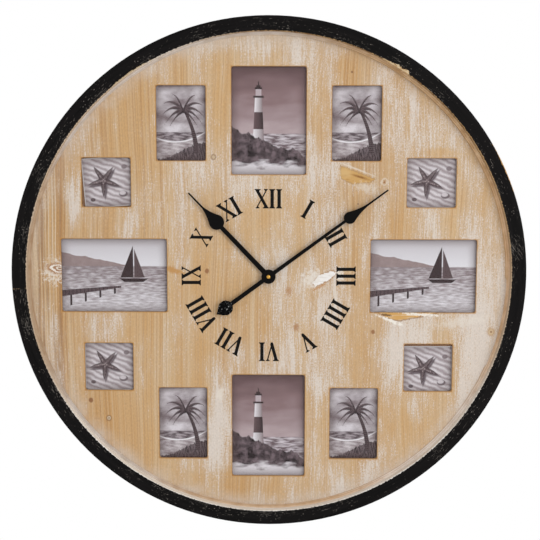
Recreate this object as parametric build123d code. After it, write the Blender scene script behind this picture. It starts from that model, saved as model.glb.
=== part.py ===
from build123d import *
import os
from math import cos, pi, radians, sin, sqrt

# Large round wall clock whose dial holds twelve photo windows. Sizes are in millimetres.
# The clock stands in the X-Z plane with +Z up and 12 o'clock at the top. The dial faces -Y.
# The origin is on the axis of the hands, in the plane of the wall. Depths are given as a
# stand-off from the wall, so a larger stand-off is nearer to the viewer.

# Rim: a hoop in two halves, with a shoulder at the back for the dial board
RIM_RADIUS = 400.0
RIM_WIDTH = 24.0
RIM_DEPTH = 45.0
RIM_SHOULDER = 8.0
RIM_OUTER_ROUND = 4.0
RIM_INNER_ROUND = 1.5
SPLICE_TILT = 2.8
DIAL_REVEAL = 15.0

# Dial board and its windows. Margins and insets run inwards from the rim's inner edge, to the edge of
# a large window or to the centre of a smaller one. Bearings are degrees from the hour of twelve.
PANEL_THICKNESS = 9.0
PANEL_CLEARANCE = 0.3
LARGE_WINDOW_LONG = 165.0
LARGE_WINDOW_SHORT = 115.0
MEDIUM_WINDOW_WIDTH = 76.0
MEDIUM_WINDOW_HEIGHT = 115.0
SMALL_WINDOW_SIDE = 76.0
UPRIGHT_MARGIN = 52.5
WIDE_MARGIN = 52.0
MEDIUM_INSET = 103.0
MEDIUM_BEARING = 29.7
SMALL_INSET = 85.0
SMALL_BEARING = 59.9
WINDOW_CORNER = 4.0
WINDOW_BEVEL = 0.8
WINDOW_LIP = 3.5
WINDOW_LEDGE = 7.0

# Sheets behind each window
SHEET_CLEARANCE = 0.5
PANE_THICKNESS = 2.0
PRINT_THICKNESS = 0.3
BACK_THICKNESS = 3.0
SMALL_PRINT_SIDE = 78.0
PRINT_TILT_AT_10 = 4.5
PRINT_SLIP_AT_10 = 2.4
PRINT_DROP_AT_4 = 5.0

# Turn buttons and wood screws
BUTTON_THICKNESS = 1.2
BUTTON_REACH = 17.0
BUTTON_ROOT_RADIUS = 5.5
BUTTON_TIP_RADIUS = 4.0
BUTTON_PLAY = 0.05
PIVOT_OFFSET = 8.0
SCREW_RADIUS = 1.5
SCREW_LENGTH = 8.0
SCREW_POINT = 2.0
SCREW_HEAD_RADIUS = 2.9
SCREW_HEAD_HEIGHT = 1.8
SCREW_HEAD_ROUND = 1.1
RUNNING_CLEARANCE = 0.05

# Wall hanger
HANGER_WIDTH = 90.0
HANGER_HEIGHT = 30.0
HANGER_RIM_GAP = 1.0
HANGER_RECESS = 3.0
HANGER_ROUND = 3.0
KEYHOLE_PLATE_WIDTH = 50.0
KEYHOLE_PLATE_HEIGHT = 26.0
KEYHOLE_PLATE_THICKNESS = 1.2
KEYHOLE_PLATE_CORNER = 4.0
KEYHOLE_RADIUS = 4.5
KEYHOLE_SLOT_WIDTH = 5.0
KEYHOLE_TRAVEL = 9.0
KEYHOLE_DROP = 4.0
KEYHOLE_POCKET_DEPTH = 10.0
KEYHOLE_POCKET_MARGIN = 1.5
HANGER_SCREW_SPACING = 36.0

# Hands: sheet metal, measured outwards from the axis
HAND_THICKNESS = 0.8
HAND_HUB_RADIUS = 11.0
MINUTE_ANGLE = 53.6
MINUTE_LENGTH = 229.0
MINUTE_SPADE_CENTRE = 156.0
MINUTE_SPADE_RADIUS = 9.4
MINUTE_NEEDLE_START = 191.0
MINUTE_ROOT_WIDTH = 6.4
MINUTE_NECK_WIDTH = 4.3
MINUTE_TAIL_WIDTH = 6.6
HOUR_ANGLE = 316.4
HOUR_LENGTH = 180.0
HOUR_SPADE_CENTRE = 117.0
HOUR_SPADE_RADIUS = 11.8
HOUR_NEEDLE_START = 148.0
HOUR_ROOT_WIDTH = 7.8
HOUR_NECK_WIDTH = 6.6
NEEDLE_WIDTH = 3.0
NEEDLE_TIP_WIDTH = 2.3
SPADE_TANGENT = 62.0
SPADE_HOLLOW = 1.3
DROP_CENTRE = 83.0
DROP_RADIUS = 11.7
DROP_POINT = 101.0
DROP_TANGENT = 50.0
DROP_HEIGHT = 4.2
DROP_DOME_RADIUS = 30.0

# Hub stack, from the dial board outwards
BUSH_RADIUS = 4.0
BUSH_LENGTH = 14.5
BUSH_HOLE_CLEARANCE = 0.2
NUT_FLANGE_RADIUS = 9.0
NUT_FLANGE_HEIGHT = 1.0
NUT_HEIGHT = 3.5
NUT_ACROSS_FLATS = 13.0
HOUR_TUBE_RADIUS = 2.5
HOUR_TUBE_STAND = 37.0
HOUR_HAND_STAND = 35.4
ARBOR_RADIUS = 1.75
ARBOR_SEAT_RADIUS = 1.5
ARBOR_THREAD_RADIUS = 1.3
MINUTE_HAND_STAND = 38.6
ARBOR_TIP = 1.6
DOME_RADIUS = 3.5
DOME_SKIRT = 1.0
DOME_HEIGHT = 3.4

# Quartz movement, behind the dial board
CASE_SIDE = 56.0
CASE_DEPTH = 16.0
CASE_WALL = 1.2
CASE_PLATE = 1.5
CASE_CORNER = 3.0
BAY_WALL = 0.8
BAY_CLEARANCE = 0.3
BATTERY_RADIUS = 7.1
BATTERY_LENGTH = 49.2
BATTERY_NUB_RADIUS = 2.7
BATTERY_NUB_LENGTH = 1.2
BATTERY_EDGE = 0.8
CONTACT_THICKNESS = 0.4
CONTACT_GAP = 0.05
CONTACT_BUTTON_RADIUS = 2.2
CONTACT_WIDTH = 11.0
CONTACT_HEIGHT = 9.0
PIVOT_RADIUS = 0.6
PIVOT_DEPTH = 0.8
LAYER_START = 0.3
WHEEL_THICKNESS = 1.1
LAYER_GAP = 0.4

# Tooth form, as shares of the module, and the play between teeth
ADDENDUM = 0.7
DEDENDUM = 1.1
BACKLASH = 0.12
TIP_SLOPE = 0.5
ROOT_SLOPE = -0.1

# Tooth counts and modules
CANNON_TEETH = 12
MINUTE_WHEEL_TEETH = 36
SETTING_TEETH = 12
CANNON_MODULE = 0.5
MINUTE_PINION_TEETH = 10
HOUR_WHEEL_TEETH = 40
THIRD_PINION_TEETH = 8
CENTRE_WHEEL_TEETH = 64
CENTRE_MODULE = 0.32
SECOND_PINION_TEETH = 8
THIRD_WHEEL_TEETH = 60
THIRD_MODULE = 0.3
IDLER_PINION_TEETH = 10
SECOND_WHEEL_TEETH = 50
SECOND_MODULE = 0.3
ROTOR_PINION_TEETH = 8
IDLER_WHEEL_TEETH = 48
IDLER_MODULE = 0.25

# Direction from each wheel's axis to the next one, anticlockwise from 3 o'clock
MINUTE_WHEEL_AT = 135.0
SETTING_AT = 180.0
THIRD_AT = 45.0
SECOND_AT = 20.0
IDLER_AT = 128.0
ROTOR_AT = 185.0

# Bores, collars and the setting knob
CENTRE_WHEEL_BORE = 1.5
CENTRE_COLLAR_RADIUS = 1.9
SETTING_SHAFT_RADIUS = 1.5
KNOB_RADIUS = 6.0
KNOB_THICKNESS = 3.0
KNOB_GROOVES = 20
KNOB_GROOVE_RADIUS = 0.45
KNOB_LIFT = 0.3

# Stepping motor and circuit board
ROTOR_RADIUS = 3.0
ROTOR_HEIGHT = 2.8
STATOR_GAP = 0.5
STATOR_PAD_RADIUS = 5.4
STATOR_THICKNESS = 1.0
STATOR_LEG = 3.0
STATOR_LENGTH = 29.0
STATOR_RISE = 4.3
COIL_LENGTH = 15.5
COIL_HEIGHT = 7.0
COIL_SEAT_GAP = 0.2
COIL_FLANGE = 1.0
COIL_STEP = 0.6
COIL_PLAY = 0.1
BOARD_WIDTH = 14.0
BOARD_HEIGHT = 10.5
BOARD_RIGHT = 19.2
BOARD_DROP = 4.6
BOARD_THICKNESS = 1.0
BOARD_STAND = 9.0
BOARD_POST_RADIUS = 1.2
BOARD_POST_SPACING = 8.0
CHIP_RADIUS = 2.4
CHIP_HEIGHT = 0.9
CRYSTAL_RADIUS = 1.05
CRYSTAL_LENGTH = 6.2

# Stand-offs and radii that follow from the sizes above
RIM_INNER_RADIUS = RIM_RADIUS - RIM_WIDTH
SHOULDER_RADIUS = RIM_INNER_RADIUS + RIM_SHOULDER
DIAL_STAND = RIM_DEPTH - DIAL_REVEAL
PANEL_BACK = DIAL_STAND - PANEL_THICKNESS
UPRIGHT_RISE = RIM_INNER_RADIUS - UPRIGHT_MARGIN - LARGE_WINDOW_LONG / 2
WIDE_REACH = RIM_INNER_RADIUS - WIDE_MARGIN - LARGE_WINDOW_LONG / 2
MEDIUM_REACH = (RIM_INNER_RADIUS - MEDIUM_INSET) * sin(radians(MEDIUM_BEARING))
MEDIUM_RISE = (RIM_INNER_RADIUS - MEDIUM_INSET) * cos(radians(MEDIUM_BEARING))
SMALL_REACH = (RIM_INNER_RADIUS - SMALL_INSET) * sin(radians(SMALL_BEARING))
SMALL_RISE = (RIM_INNER_RADIUS - SMALL_INSET) * cos(radians(SMALL_BEARING))
PANE_FRONT = DIAL_STAND - WINDOW_LIP
PRINT_FRONT = PANE_FRONT - PANE_THICKNESS
BACK_FRONT = PANEL_BACK + BACK_THICKNESS
BUTTON_FRONT = PANEL_BACK - BUTTON_PLAY
BUTTON_BACK = BUTTON_FRONT - BUTTON_THICKNESS
CASE_BACK = PANEL_BACK - CASE_DEPTH
CASE_INNER_FRONT = PANEL_BACK - CASE_PLATE
COVER_FRONT = CASE_BACK + CASE_PLATE
CASE_INNER = CASE_SIDE / 2 - CASE_WALL
BATTERY_STAND = CASE_INNER_FRONT - BAY_CLEARANCE - BATTERY_RADIUS
BATTERY_RISE = -CASE_INNER + BAY_CLEARANCE + BATTERY_RADIUS
BAY_TOP = BATTERY_RISE + BATTERY_RADIUS + BAY_CLEARANCE
BUSH_TIP = CASE_INNER_FRONT + BUSH_LENGTH
MINUTE_HAND_FRONT = MINUTE_HAND_STAND + HAND_THICKNESS

PLATE_BACK = HANGER_RECESS
PLATE_FRONT = PLATE_BACK + KEYHOLE_PLATE_THICKNESS
PIVOT_BACK = COVER_FRONT - PIVOT_DEPTH + RUNNING_CLEARANCE
PIVOT_FRONT = CASE_INNER_FRONT + PIVOT_DEPTH - RUNNING_CLEARANCE
BATTERY_START = -CASE_INNER + CONTACT_GAP + CONTACT_THICKNESS + BATTERY_NUB_LENGTH
BOARD_CENTRE = (BOARD_RIGHT, -BOARD_DROP)

UPPER = 1
LOWER = -1
RIGHT = 1
LEFT = -1

# Width and height of each kind of window
WINDOW_SIZES = {
    "upright": (LARGE_WINDOW_SHORT, LARGE_WINDOW_LONG),
    "wide": (LARGE_WINDOW_LONG, LARGE_WINDOW_SHORT),
    "medium": (MEDIUM_WINDOW_WIDTH, MEDIUM_WINDOW_HEIGHT),
    "small": (SMALL_WINDOW_SIDE, SMALL_WINDOW_SIDE),
}

# Every window, by the hour that it stands at: its size and the place of its centre
WINDOWS = {
    12: ("upright", 0.0, UPPER * UPRIGHT_RISE),
    6: ("upright", 0.0, LOWER * UPRIGHT_RISE),
    3: ("wide", RIGHT * WIDE_REACH, 0.0),
    9: ("wide", LEFT * WIDE_REACH, 0.0),
    1: ("medium", RIGHT * MEDIUM_REACH, UPPER * MEDIUM_RISE),
    5: ("medium", RIGHT * MEDIUM_REACH, LOWER * MEDIUM_RISE),
    7: ("medium", LEFT * MEDIUM_REACH, LOWER * MEDIUM_RISE),
    11: ("medium", LEFT * MEDIUM_REACH, UPPER * MEDIUM_RISE),
    2: ("small", RIGHT * SMALL_REACH, UPPER * SMALL_RISE),
    4: ("small", RIGHT * SMALL_REACH, LOWER * SMALL_RISE),
    8: ("small", LEFT * SMALL_REACH, LOWER * SMALL_RISE),
    10: ("small", LEFT * SMALL_REACH, UPPER * SMALL_RISE),
}


def slab(outline, near, far):
    """Solid with an outline drawn face on, x right and z up, between two stand-offs."""
    return extrude(Plane.XZ.offset(near) * outline, far - near, dir=(0, -1, 0))


def disc(radius, near, far, place=(0.0, 0.0)):
    """Round solid along the depth, between two stand-offs."""
    return slab(Pos(*place) * Circle(radius), near, far)


def layer(number):
    """Near and far stand-offs of one storey of wheels, counted from the dial side."""
    far = CASE_INNER_FRONT - LAYER_START - number * (WHEEL_THICKNESS + LAYER_GAP)
    return far - WHEEL_THICKNESS, far


# Rim

def make_rim_half(turn):
    """Half of the hoop, as a revolved section with a shoulder for the dial board."""
    corners = [
        (RIM_RADIUS, 0.0),
        (RIM_RADIUS, -RIM_DEPTH),
        (RIM_INNER_RADIUS, -RIM_DEPTH),
        (RIM_INNER_RADIUS, -DIAL_STAND),
        (SHOULDER_RADIUS, -DIAL_STAND),
        (SHOULDER_RADIUS, 0.0),
    ]
    section = make_face(Polyline(*corners, close=True))
    front = section.vertices().group_by(Axis.Y)[0].sort_by(Axis.X)
    section = fillet(front[0], RIM_INNER_ROUND)
    front = section.vertices().group_by(Axis.X)[-1].sort_by(Axis.Y)
    section = fillet(front[0], RIM_OUTER_ROUND)
    return Rot(0, turn, 0) * revolve(section, Axis.Y, 180)


# Dial board, panes, prints and backs

def window_outline(kind, growth=0.0):
    """Rounded rectangle of a window, let out by a margin all round."""
    width, height = WINDOW_SIZES[kind]
    return RectangleRounded(width + 2 * growth, height + 2 * growth, WINDOW_CORNER)


def button_pivots(kind, x, z):
    """The two turn buttons of a window: side name, pivot place, and the way each one points."""
    width, height = WINDOW_SIZES[kind]
    if kind == "wide":
        reach = width / 2 + WINDOW_LEDGE + PIVOT_OFFSET
        return [("left", (x - reach, z), -90.0), ("right", (x + reach, z), 90.0)]
    reach = height / 2 + WINDOW_LEDGE + PIVOT_OFFSET
    return [("top", (x, z + reach), 180.0), ("bottom", (x, z - reach), 0.0)]


def make_face_panel():
    """Veneered board with bevelled windows, rebates behind them and pilot holes for the pivot screws."""
    panel = disc(SHOULDER_RADIUS - PANEL_CLEARANCE, PANEL_BACK, DIAL_STAND)
    for kind, x, z in WINDOWS.values():
        panel -= slab(Pos(x, z) * window_outline(kind), PANEL_BACK, DIAL_STAND)
    front = panel.faces().sort_by(Axis.Y)[0]
    window_edges = [edge for wire in front.inner_wires() for edge in wire.edges()]
    panel = chamfer(window_edges, WINDOW_BEVEL)
    for kind, x, z in WINDOWS.values():
        panel -= slab(Pos(x, z) * window_outline(kind, WINDOW_LEDGE), PANEL_BACK, PANE_FRONT)
        for _, pivot, _ in button_pivots(kind, x, z):
            depth = SCREW_LENGTH + RUNNING_CLEARANCE
            panel -= disc(SCREW_RADIUS + RUNNING_CLEARANCE, PANEL_BACK, BUTTON_BACK + depth, pivot)
    panel -= disc(BUSH_RADIUS + BUSH_HOLE_CLEARANCE, PANEL_BACK, DIAL_STAND)
    return panel


def make_sheets(kind, near, far):
    """The sheets of one kind behind all windows of one size, cut to drop into the rebates."""
    outline = window_outline(kind, WINDOW_LEDGE - SHEET_CLEARANCE)
    return [slab(Pos(x, z) * outline, near, far) for own, x, z in WINDOWS.values() if own == kind]


def make_small_prints():
    """Hand-cut square prints, one of which has slipped askew and one of which has dropped."""
    prints = []
    for hour, (kind, x, z) in WINDOWS.items():
        if kind != "small":
            continue
        place = Pos(x, z)
        if hour == 10:
            place = Pos(x + PRINT_SLIP_AT_10, z) * Rot(0, 0, PRINT_TILT_AT_10)
        if hour == 4:
            place = Pos(x, z - PRINT_DROP_AT_4)
        outline = place * Rectangle(SMALL_PRINT_SIDE, SMALL_PRINT_SIDE)
        prints.append(slab(outline, PRINT_FRONT - PRINT_THICKNESS, PRINT_FRONT))
    return prints


# Turn buttons, screws and hanger

def make_turn_button(pivot, turn):
    """Flat steel turn button, wide at the pivot and narrow at the tip."""
    ends = Circle(BUTTON_ROOT_RADIUS) + Pos(0, BUTTON_REACH) * Circle(BUTTON_TIP_RADIUS)
    outline = make_hull(ends.edges()) - Circle(SCREW_RADIUS + RUNNING_CLEARANCE)
    return slab(Pos(*pivot) * Rot(0, 0, turn) * outline, BUTTON_BACK, BUTTON_FRONT)


def make_wood_screw(place, seat):
    """Round-head wood screw whose head bears on a seat at the given stand-off, pointing forwards."""
    x, z = place
    head = disc(SCREW_HEAD_RADIUS, seat - SCREW_HEAD_HEIGHT, seat, place)
    head = fillet(head.edges().group_by(Axis.Y)[-1], SCREW_HEAD_ROUND)
    straight = SCREW_LENGTH - SCREW_POINT
    shank = disc(SCREW_RADIUS, seat, seat + straight, place)
    foot = (Align.CENTER, Align.CENTER, Align.MIN)
    point = Cone(SCREW_RADIUS, SCREW_RADIUS / 4, SCREW_POINT, align=foot)
    tip = Plane(origin=(x, -seat - straight, z), x_dir=(1, 0, 0), z_dir=(0, -1, 0))
    return head + shank + tip * point


def hanger_rise():
    """Height of the hanger block's centre: its upper corners stop just short of the rim."""
    reach = SHOULDER_RADIUS - HANGER_RIM_GAP
    return sqrt(reach**2 - (HANGER_WIDTH / 2) ** 2) - HANGER_HEIGHT / 2


def keyhole(radius, slot_width):
    """Round hole with a slot that rises from it."""
    low = hanger_rise() - KEYHOLE_DROP
    slot = Pos(0, low + KEYHOLE_TRAVEL / 2) * Rectangle(slot_width, KEYHOLE_TRAVEL)
    return Pos(0, low) * Circle(radius) + slot + Pos(0, low + KEYHOLE_TRAVEL) * Circle(slot_width / 2)


def hanger_screw_places():
    """Where the two screws of the keyhole plate stand."""
    return [(side * HANGER_SCREW_SPACING / 2, hanger_rise()) for side in (LEFT, RIGHT)]


def make_hanger_block():
    """Wooden block behind the top of the dial, with a pocket for the head of the wall screw."""
    outline = Pos(0, hanger_rise()) * RectangleRounded(HANGER_WIDTH, HANGER_HEIGHT, HANGER_ROUND)
    block = slab(outline, PLATE_FRONT, PANEL_BACK)
    room = KEYHOLE_RADIUS + KEYHOLE_POCKET_MARGIN
    block -= slab(keyhole(room, 2 * room), PLATE_FRONT, PLATE_FRONT + KEYHOLE_POCKET_DEPTH)
    pilot_end = PLATE_BACK + SCREW_LENGTH + RUNNING_CLEARANCE
    for place in hanger_screw_places():
        block -= disc(SCREW_RADIUS + RUNNING_CLEARANCE, PLATE_FRONT, pilot_end, place)
    return block


def make_keyhole_plate():
    """Steel plate with the keyhole that the wall screw goes into."""
    blank = RectangleRounded(KEYHOLE_PLATE_WIDTH, KEYHOLE_PLATE_HEIGHT, KEYHOLE_PLATE_CORNER)
    outline = Pos(0, hanger_rise()) * blank
    outline -= keyhole(KEYHOLE_RADIUS, KEYHOLE_SLOT_WIDTH)
    for place in hanger_screw_places():
        outline -= Pos(*place) * Circle(SCREW_RADIUS + RUNNING_CLEARANCE)
    return slab(outline, PLATE_BACK, PLATE_FRONT)


# Hands

def spade_outline(root_width, neck_width, centre, radius, needle_start, length):
    """One arm of a hand along +y: tapering arm, round-backed spade and needle."""
    slant = radians(SPADE_TANGENT)
    shoulder = (radius * sin(slant), centre + radius * cos(slant))
    middle = ((shoulder[0] + NEEDLE_WIDTH / 2) / 2 - SPADE_HOLLOW, (shoulder[1] + needle_start) / 2)
    arm_corners = [
        (-root_width / 2, 0),
        (root_width / 2, 0),
        (neck_width / 2, centre),
        (-neck_width / 2, centre),
    ]
    arm = Polygon(*arm_corners, align=None)
    flank = ThreePointArc(shoulder, middle, (NEEDLE_WIDTH / 2, needle_start))
    needle = Line((NEEDLE_WIDTH / 2, needle_start), (NEEDLE_TIP_WIDTH / 2, length - NEEDLE_TIP_WIDTH / 2))
    tip = ThreePointArc(needle @ 1, (0, length), (-NEEDLE_TIP_WIDTH / 2, length - NEEDLE_TIP_WIDTH / 2))
    half = [flank, needle]
    other_half = [edge.mirror(Plane.YZ) for edge in half]
    base = Line(shoulder, (-shoulder[0], shoulder[1]))
    blade = make_face(half + [tip] + other_half + [base])
    return arm + blade + Pos(0, centre) * Circle(radius)


def make_hand(outline, turn, bore, near):
    """Hand stamped from sheet, turned clockwise from 12 o'clock, with a round hub."""
    outline = outline + Circle(HAND_HUB_RADIUS)
    outline -= Circle(bore + RUNNING_CLEARANCE)
    return slab(Rot(0, 0, -turn) * outline, near, near + HAND_THICKNESS)


def make_hour_hand():
    """Short spade hand, on the hour tube."""
    arm = spade_outline(
        HOUR_ROOT_WIDTH,
        HOUR_NECK_WIDTH,
        HOUR_SPADE_CENTRE,
        HOUR_SPADE_RADIUS,
        HOUR_NEEDLE_START,
        HOUR_LENGTH,
    )
    return make_hand(arm, HOUR_ANGLE, HOUR_TUBE_RADIUS, HOUR_HAND_STAND)


def make_minute_hand():
    """Long spade hand with a tail bar, on the minute arbor."""
    arm = spade_outline(
        MINUTE_ROOT_WIDTH,
        MINUTE_NECK_WIDTH,
        MINUTE_SPADE_CENTRE,
        MINUTE_SPADE_RADIUS,
        MINUTE_NEEDLE_START,
        MINUTE_LENGTH,
    )
    tail = Pos(0, -DROP_CENTRE / 2) * Rectangle(MINUTE_TAIL_WIDTH, DROP_CENTRE)
    return make_hand(arm + tail, MINUTE_ANGLE, ARBOR_SEAT_RADIUS, MINUTE_HAND_STAND)


def make_counterweight():
    """Domed drop on the end of the minute hand's tail, with its point outwards."""
    slant = radians(DROP_TANGENT)
    shoulder = (DROP_RADIUS * sin(slant), -DROP_CENTRE - DROP_RADIUS * cos(slant))
    point = Polygon((0, -DROP_CENTRE), (-shoulder[0], shoulder[1]), (0, -DROP_POINT), shoulder, align=None)
    outline = Pos(0, -DROP_CENTRE) * Circle(DROP_RADIUS) + point
    drop = slab(Rot(0, 0, -MINUTE_ANGLE) * outline, MINUTE_HAND_FRONT, MINUTE_HAND_FRONT + DROP_HEIGHT)
    middle = (DROP_CENTRE - DROP_RADIUS + DROP_POINT) / 2
    turn = radians(MINUTE_ANGLE)
    crown = MINUTE_HAND_FRONT + DROP_HEIGHT - DROP_DOME_RADIUS
    return drop & Pos(-middle * sin(turn), -crown, -middle * cos(turn)) * Sphere(DROP_DOME_RADIUS)


def make_hand_nut():
    """Brass dome nut on the end of the minute arbor."""
    base = MINUTE_HAND_FRONT
    skirt = disc(DOME_RADIUS, base, base + DOME_SKIRT)
    rise = DOME_HEIGHT - DOME_SKIRT
    ball = (DOME_RADIUS**2 + rise**2) / (2 * rise)
    crown = disc(DOME_RADIUS, base + DOME_SKIRT, base + DOME_HEIGHT)
    dome = crown & Pos(0, ball - base - DOME_HEIGHT, 0) * Sphere(ball)
    bore = disc(ARBOR_THREAD_RADIUS + RUNNING_CLEARANCE, base, base + ARBOR_TIP + RUNNING_CLEARANCE)
    return skirt + dome - bore


def make_bush_nut():
    """Flanged hexagon nut that clamps the movement to the dial board."""
    flange = disc(NUT_FLANGE_RADIUS, DIAL_STAND, DIAL_STAND + NUT_FLANGE_HEIGHT)
    hexagon = RegularPolygon(NUT_ACROSS_FLATS / 2, 6, major_radius=False)
    nut = flange + slab(hexagon, DIAL_STAND + NUT_FLANGE_HEIGHT, DIAL_STAND + NUT_HEIGHT)
    return nut - disc(BUSH_RADIUS + RUNNING_CLEARANCE, DIAL_STAND, DIAL_STAND + NUT_HEIGHT)


# Wheel train

def step(place, distance, heading):
    """The place at a distance from another, along a heading in degrees from +X towards +Z."""
    return place[0] + distance * cos(radians(heading)), place[1] + distance * sin(radians(heading))


def centre_distance(module, teeth, mate_teeth):
    """Distance between the axes of two meshing wheels."""
    return module * (teeth + mate_teeth) / 2


MOTION_DISTANCE = centre_distance(CANNON_MODULE, CANNON_TEETH, MINUTE_WHEEL_TEETH)
HOUR_MODULE = 2 * MOTION_DISTANCE / (MINUTE_PINION_TEETH + HOUR_WHEEL_TEETH)
SETTING_DISTANCE = centre_distance(CANNON_MODULE, MINUTE_WHEEL_TEETH, SETTING_TEETH)
THIRD_DISTANCE = centre_distance(CENTRE_MODULE, THIRD_PINION_TEETH, CENTRE_WHEEL_TEETH)
SECOND_DISTANCE = centre_distance(THIRD_MODULE, SECOND_PINION_TEETH, THIRD_WHEEL_TEETH)
IDLER_DISTANCE = centre_distance(SECOND_MODULE, IDLER_PINION_TEETH, SECOND_WHEEL_TEETH)
ROTOR_DISTANCE = centre_distance(IDLER_MODULE, ROTOR_PINION_TEETH, IDLER_WHEEL_TEETH)
CENTRE_AXIS = (0.0, 0.0)
MINUTE_WHEEL_AXIS = step(CENTRE_AXIS, MOTION_DISTANCE, MINUTE_WHEEL_AT)
SETTING_AXIS = step(MINUTE_WHEEL_AXIS, SETTING_DISTANCE, SETTING_AT)
THIRD_AXIS = step(CENTRE_AXIS, THIRD_DISTANCE, THIRD_AT)
SECOND_AXIS = step(THIRD_AXIS, SECOND_DISTANCE, SECOND_AT)
IDLER_AXIS = step(SECOND_AXIS, IDLER_DISTANCE, IDLER_AT)
ROTOR_AXIS = step(IDLER_AXIS, ROTOR_DISTANCE, ROTOR_AT)
PIVOTED_AXES = [MINUTE_WHEEL_AXIS, THIRD_AXIS, SECOND_AXIS, IDLER_AXIS, ROTOR_AXIS]


def mating_phase(phase, teeth, mate_teeth, heading):
    """Phase, in degrees, that drops a wheel's gap onto the nearest tooth of the wheel that it meets."""
    pitch = 360.0 / teeth
    offset = (phase - heading + pitch / 2) % pitch - pitch / 2
    return heading + 180.0 - offset * teeth / mate_teeth + 180.0 / mate_teeth


def toothed_outline(teeth, module, phase):
    """Wheel outline with straight-sided teeth, one of them centred on the phase."""
    pitch_radius = teeth * module / 2
    half = (pi * module / 2 - BACKLASH) / 2
    tip = half - ADDENDUM * module * TIP_SLOPE
    root = half + DEDENDUM * module * ROOT_SLOPE
    tooth = [
        (pitch_radius - DEDENDUM * module, -root),
        (pitch_radius, -half),
        (pitch_radius + ADDENDUM * module, -tip),
        (pitch_radius + ADDENDUM * module, tip),
        (pitch_radius, half),
        (pitch_radius - DEDENDUM * module, root),
    ]
    points = []
    for number in range(teeth):
        for radius, side in tooth:
            angle = radians(phase + 360.0 * number / teeth) + side / radius
            points.append((radius * cos(angle), radius * sin(angle)))
    return make_face(Polyline(*points, close=True))


def make_pivoted_wheel(place, wheel, wheel_layer, pinion, pinion_layer):
    """Wheel and pinion on one arbor, whose ends run in the two plates of the case."""
    near, far = layer(wheel_layer)
    solid = slab(Pos(*place) * wheel, near, far)
    solid += slab(Pos(*place) * pinion, far, layer(pinion_layer)[1])
    return solid + disc(PIVOT_RADIUS, PIVOT_BACK, PIVOT_FRONT, place)


def make_minute_wheel():
    """Motion wheel that the cannon pinion drives, with the pinion that drives the hour wheel."""
    wheel_phase = mating_phase(0.0, CANNON_TEETH, MINUTE_WHEEL_TEETH, MINUTE_WHEEL_AT)
    wheel = toothed_outline(MINUTE_WHEEL_TEETH, CANNON_MODULE, wheel_phase)
    pinion = toothed_outline(MINUTE_PINION_TEETH, HOUR_MODULE, 0.0)
    return make_pivoted_wheel(MINUTE_WHEEL_AXIS, wheel, 1, pinion, 0)


def make_setting_knob():
    """Knob on the back of the movement, with the shaft and pinion that turn the hands."""
    wheel_phase = mating_phase(0.0, CANNON_TEETH, MINUTE_WHEEL_TEETH, MINUTE_WHEEL_AT)
    phase = mating_phase(wheel_phase, MINUTE_WHEEL_TEETH, SETTING_TEETH, SETTING_AT)
    pinion = slab(Pos(*SETTING_AXIS) * toothed_outline(SETTING_TEETH, CANNON_MODULE, phase), *layer(1))
    top = CASE_BACK - KNOB_LIFT
    head_outline = Circle(KNOB_RADIUS)
    head_outline -= [loc * Circle(KNOB_GROOVE_RADIUS) for loc in PolarLocations(KNOB_RADIUS, KNOB_GROOVES)]
    head = slab(Pos(*SETTING_AXIS) * head_outline, top - KNOB_THICKNESS, top)
    shaft = disc(SETTING_SHAFT_RADIUS, top, layer(1)[0], SETTING_AXIS)
    pivot = disc(PIVOT_RADIUS, layer(1)[1], PIVOT_FRONT, SETTING_AXIS)
    return pinion + head + shaft + pivot


def make_hour_wheel():
    """Hour wheel with the long tube that carries the hour hand."""
    heading = MINUTE_WHEEL_AT + 180.0
    phase = mating_phase(0.0, MINUTE_PINION_TEETH, HOUR_WHEEL_TEETH, heading)
    near, far = layer(0)
    wheel = slab(toothed_outline(HOUR_WHEEL_TEETH, HOUR_MODULE, phase), near, far)
    wheel += disc(HOUR_TUBE_RADIUS, near, HOUR_TUBE_STAND)
    return wheel - disc(ARBOR_RADIUS + RUNNING_CLEARANCE, near, HOUR_TUBE_STAND)


def make_minute_arbor():
    """Centre arbor with the cannon pinion, the seat of the centre wheel and the thread for the dome nut."""
    near, far = layer(1)
    arbor = slab(toothed_outline(CANNON_TEETH, CANNON_MODULE, 0.0), near, far)
    arbor += disc(ARBOR_RADIUS, far, MINUTE_HAND_STAND)
    arbor += disc(ARBOR_SEAT_RADIUS, MINUTE_HAND_STAND, MINUTE_HAND_FRONT)
    arbor += disc(ARBOR_THREAD_RADIUS, MINUTE_HAND_FRONT, MINUTE_HAND_FRONT + ARBOR_TIP)
    collar_near, collar_far = layer(3)
    arbor += disc(CENTRE_WHEEL_BORE, collar_far, near)
    arbor += disc(CENTRE_COLLAR_RADIUS, collar_near, collar_far)
    return arbor + disc(PIVOT_RADIUS, PIVOT_BACK, collar_near)


def make_centre_wheel():
    """Centre wheel, free on the arbor behind the friction clutch."""
    wheel = toothed_outline(CENTRE_WHEEL_TEETH, CENTRE_MODULE, THIRD_AT)
    return slab(wheel - Circle(CENTRE_WHEEL_BORE + RUNNING_CLEARANCE), *layer(2))


def make_third_wheel():
    """Wheel between the second wheel and the centre wheel."""
    pinion_phase = mating_phase(THIRD_AT, CENTRE_WHEEL_TEETH, THIRD_PINION_TEETH, THIRD_AT)
    pinion = toothed_outline(THIRD_PINION_TEETH, CENTRE_MODULE, pinion_phase)
    wheel = toothed_outline(THIRD_WHEEL_TEETH, THIRD_MODULE, SECOND_AT)
    return make_pivoted_wheel(THIRD_AXIS, wheel, 3, pinion, 2)


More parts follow.
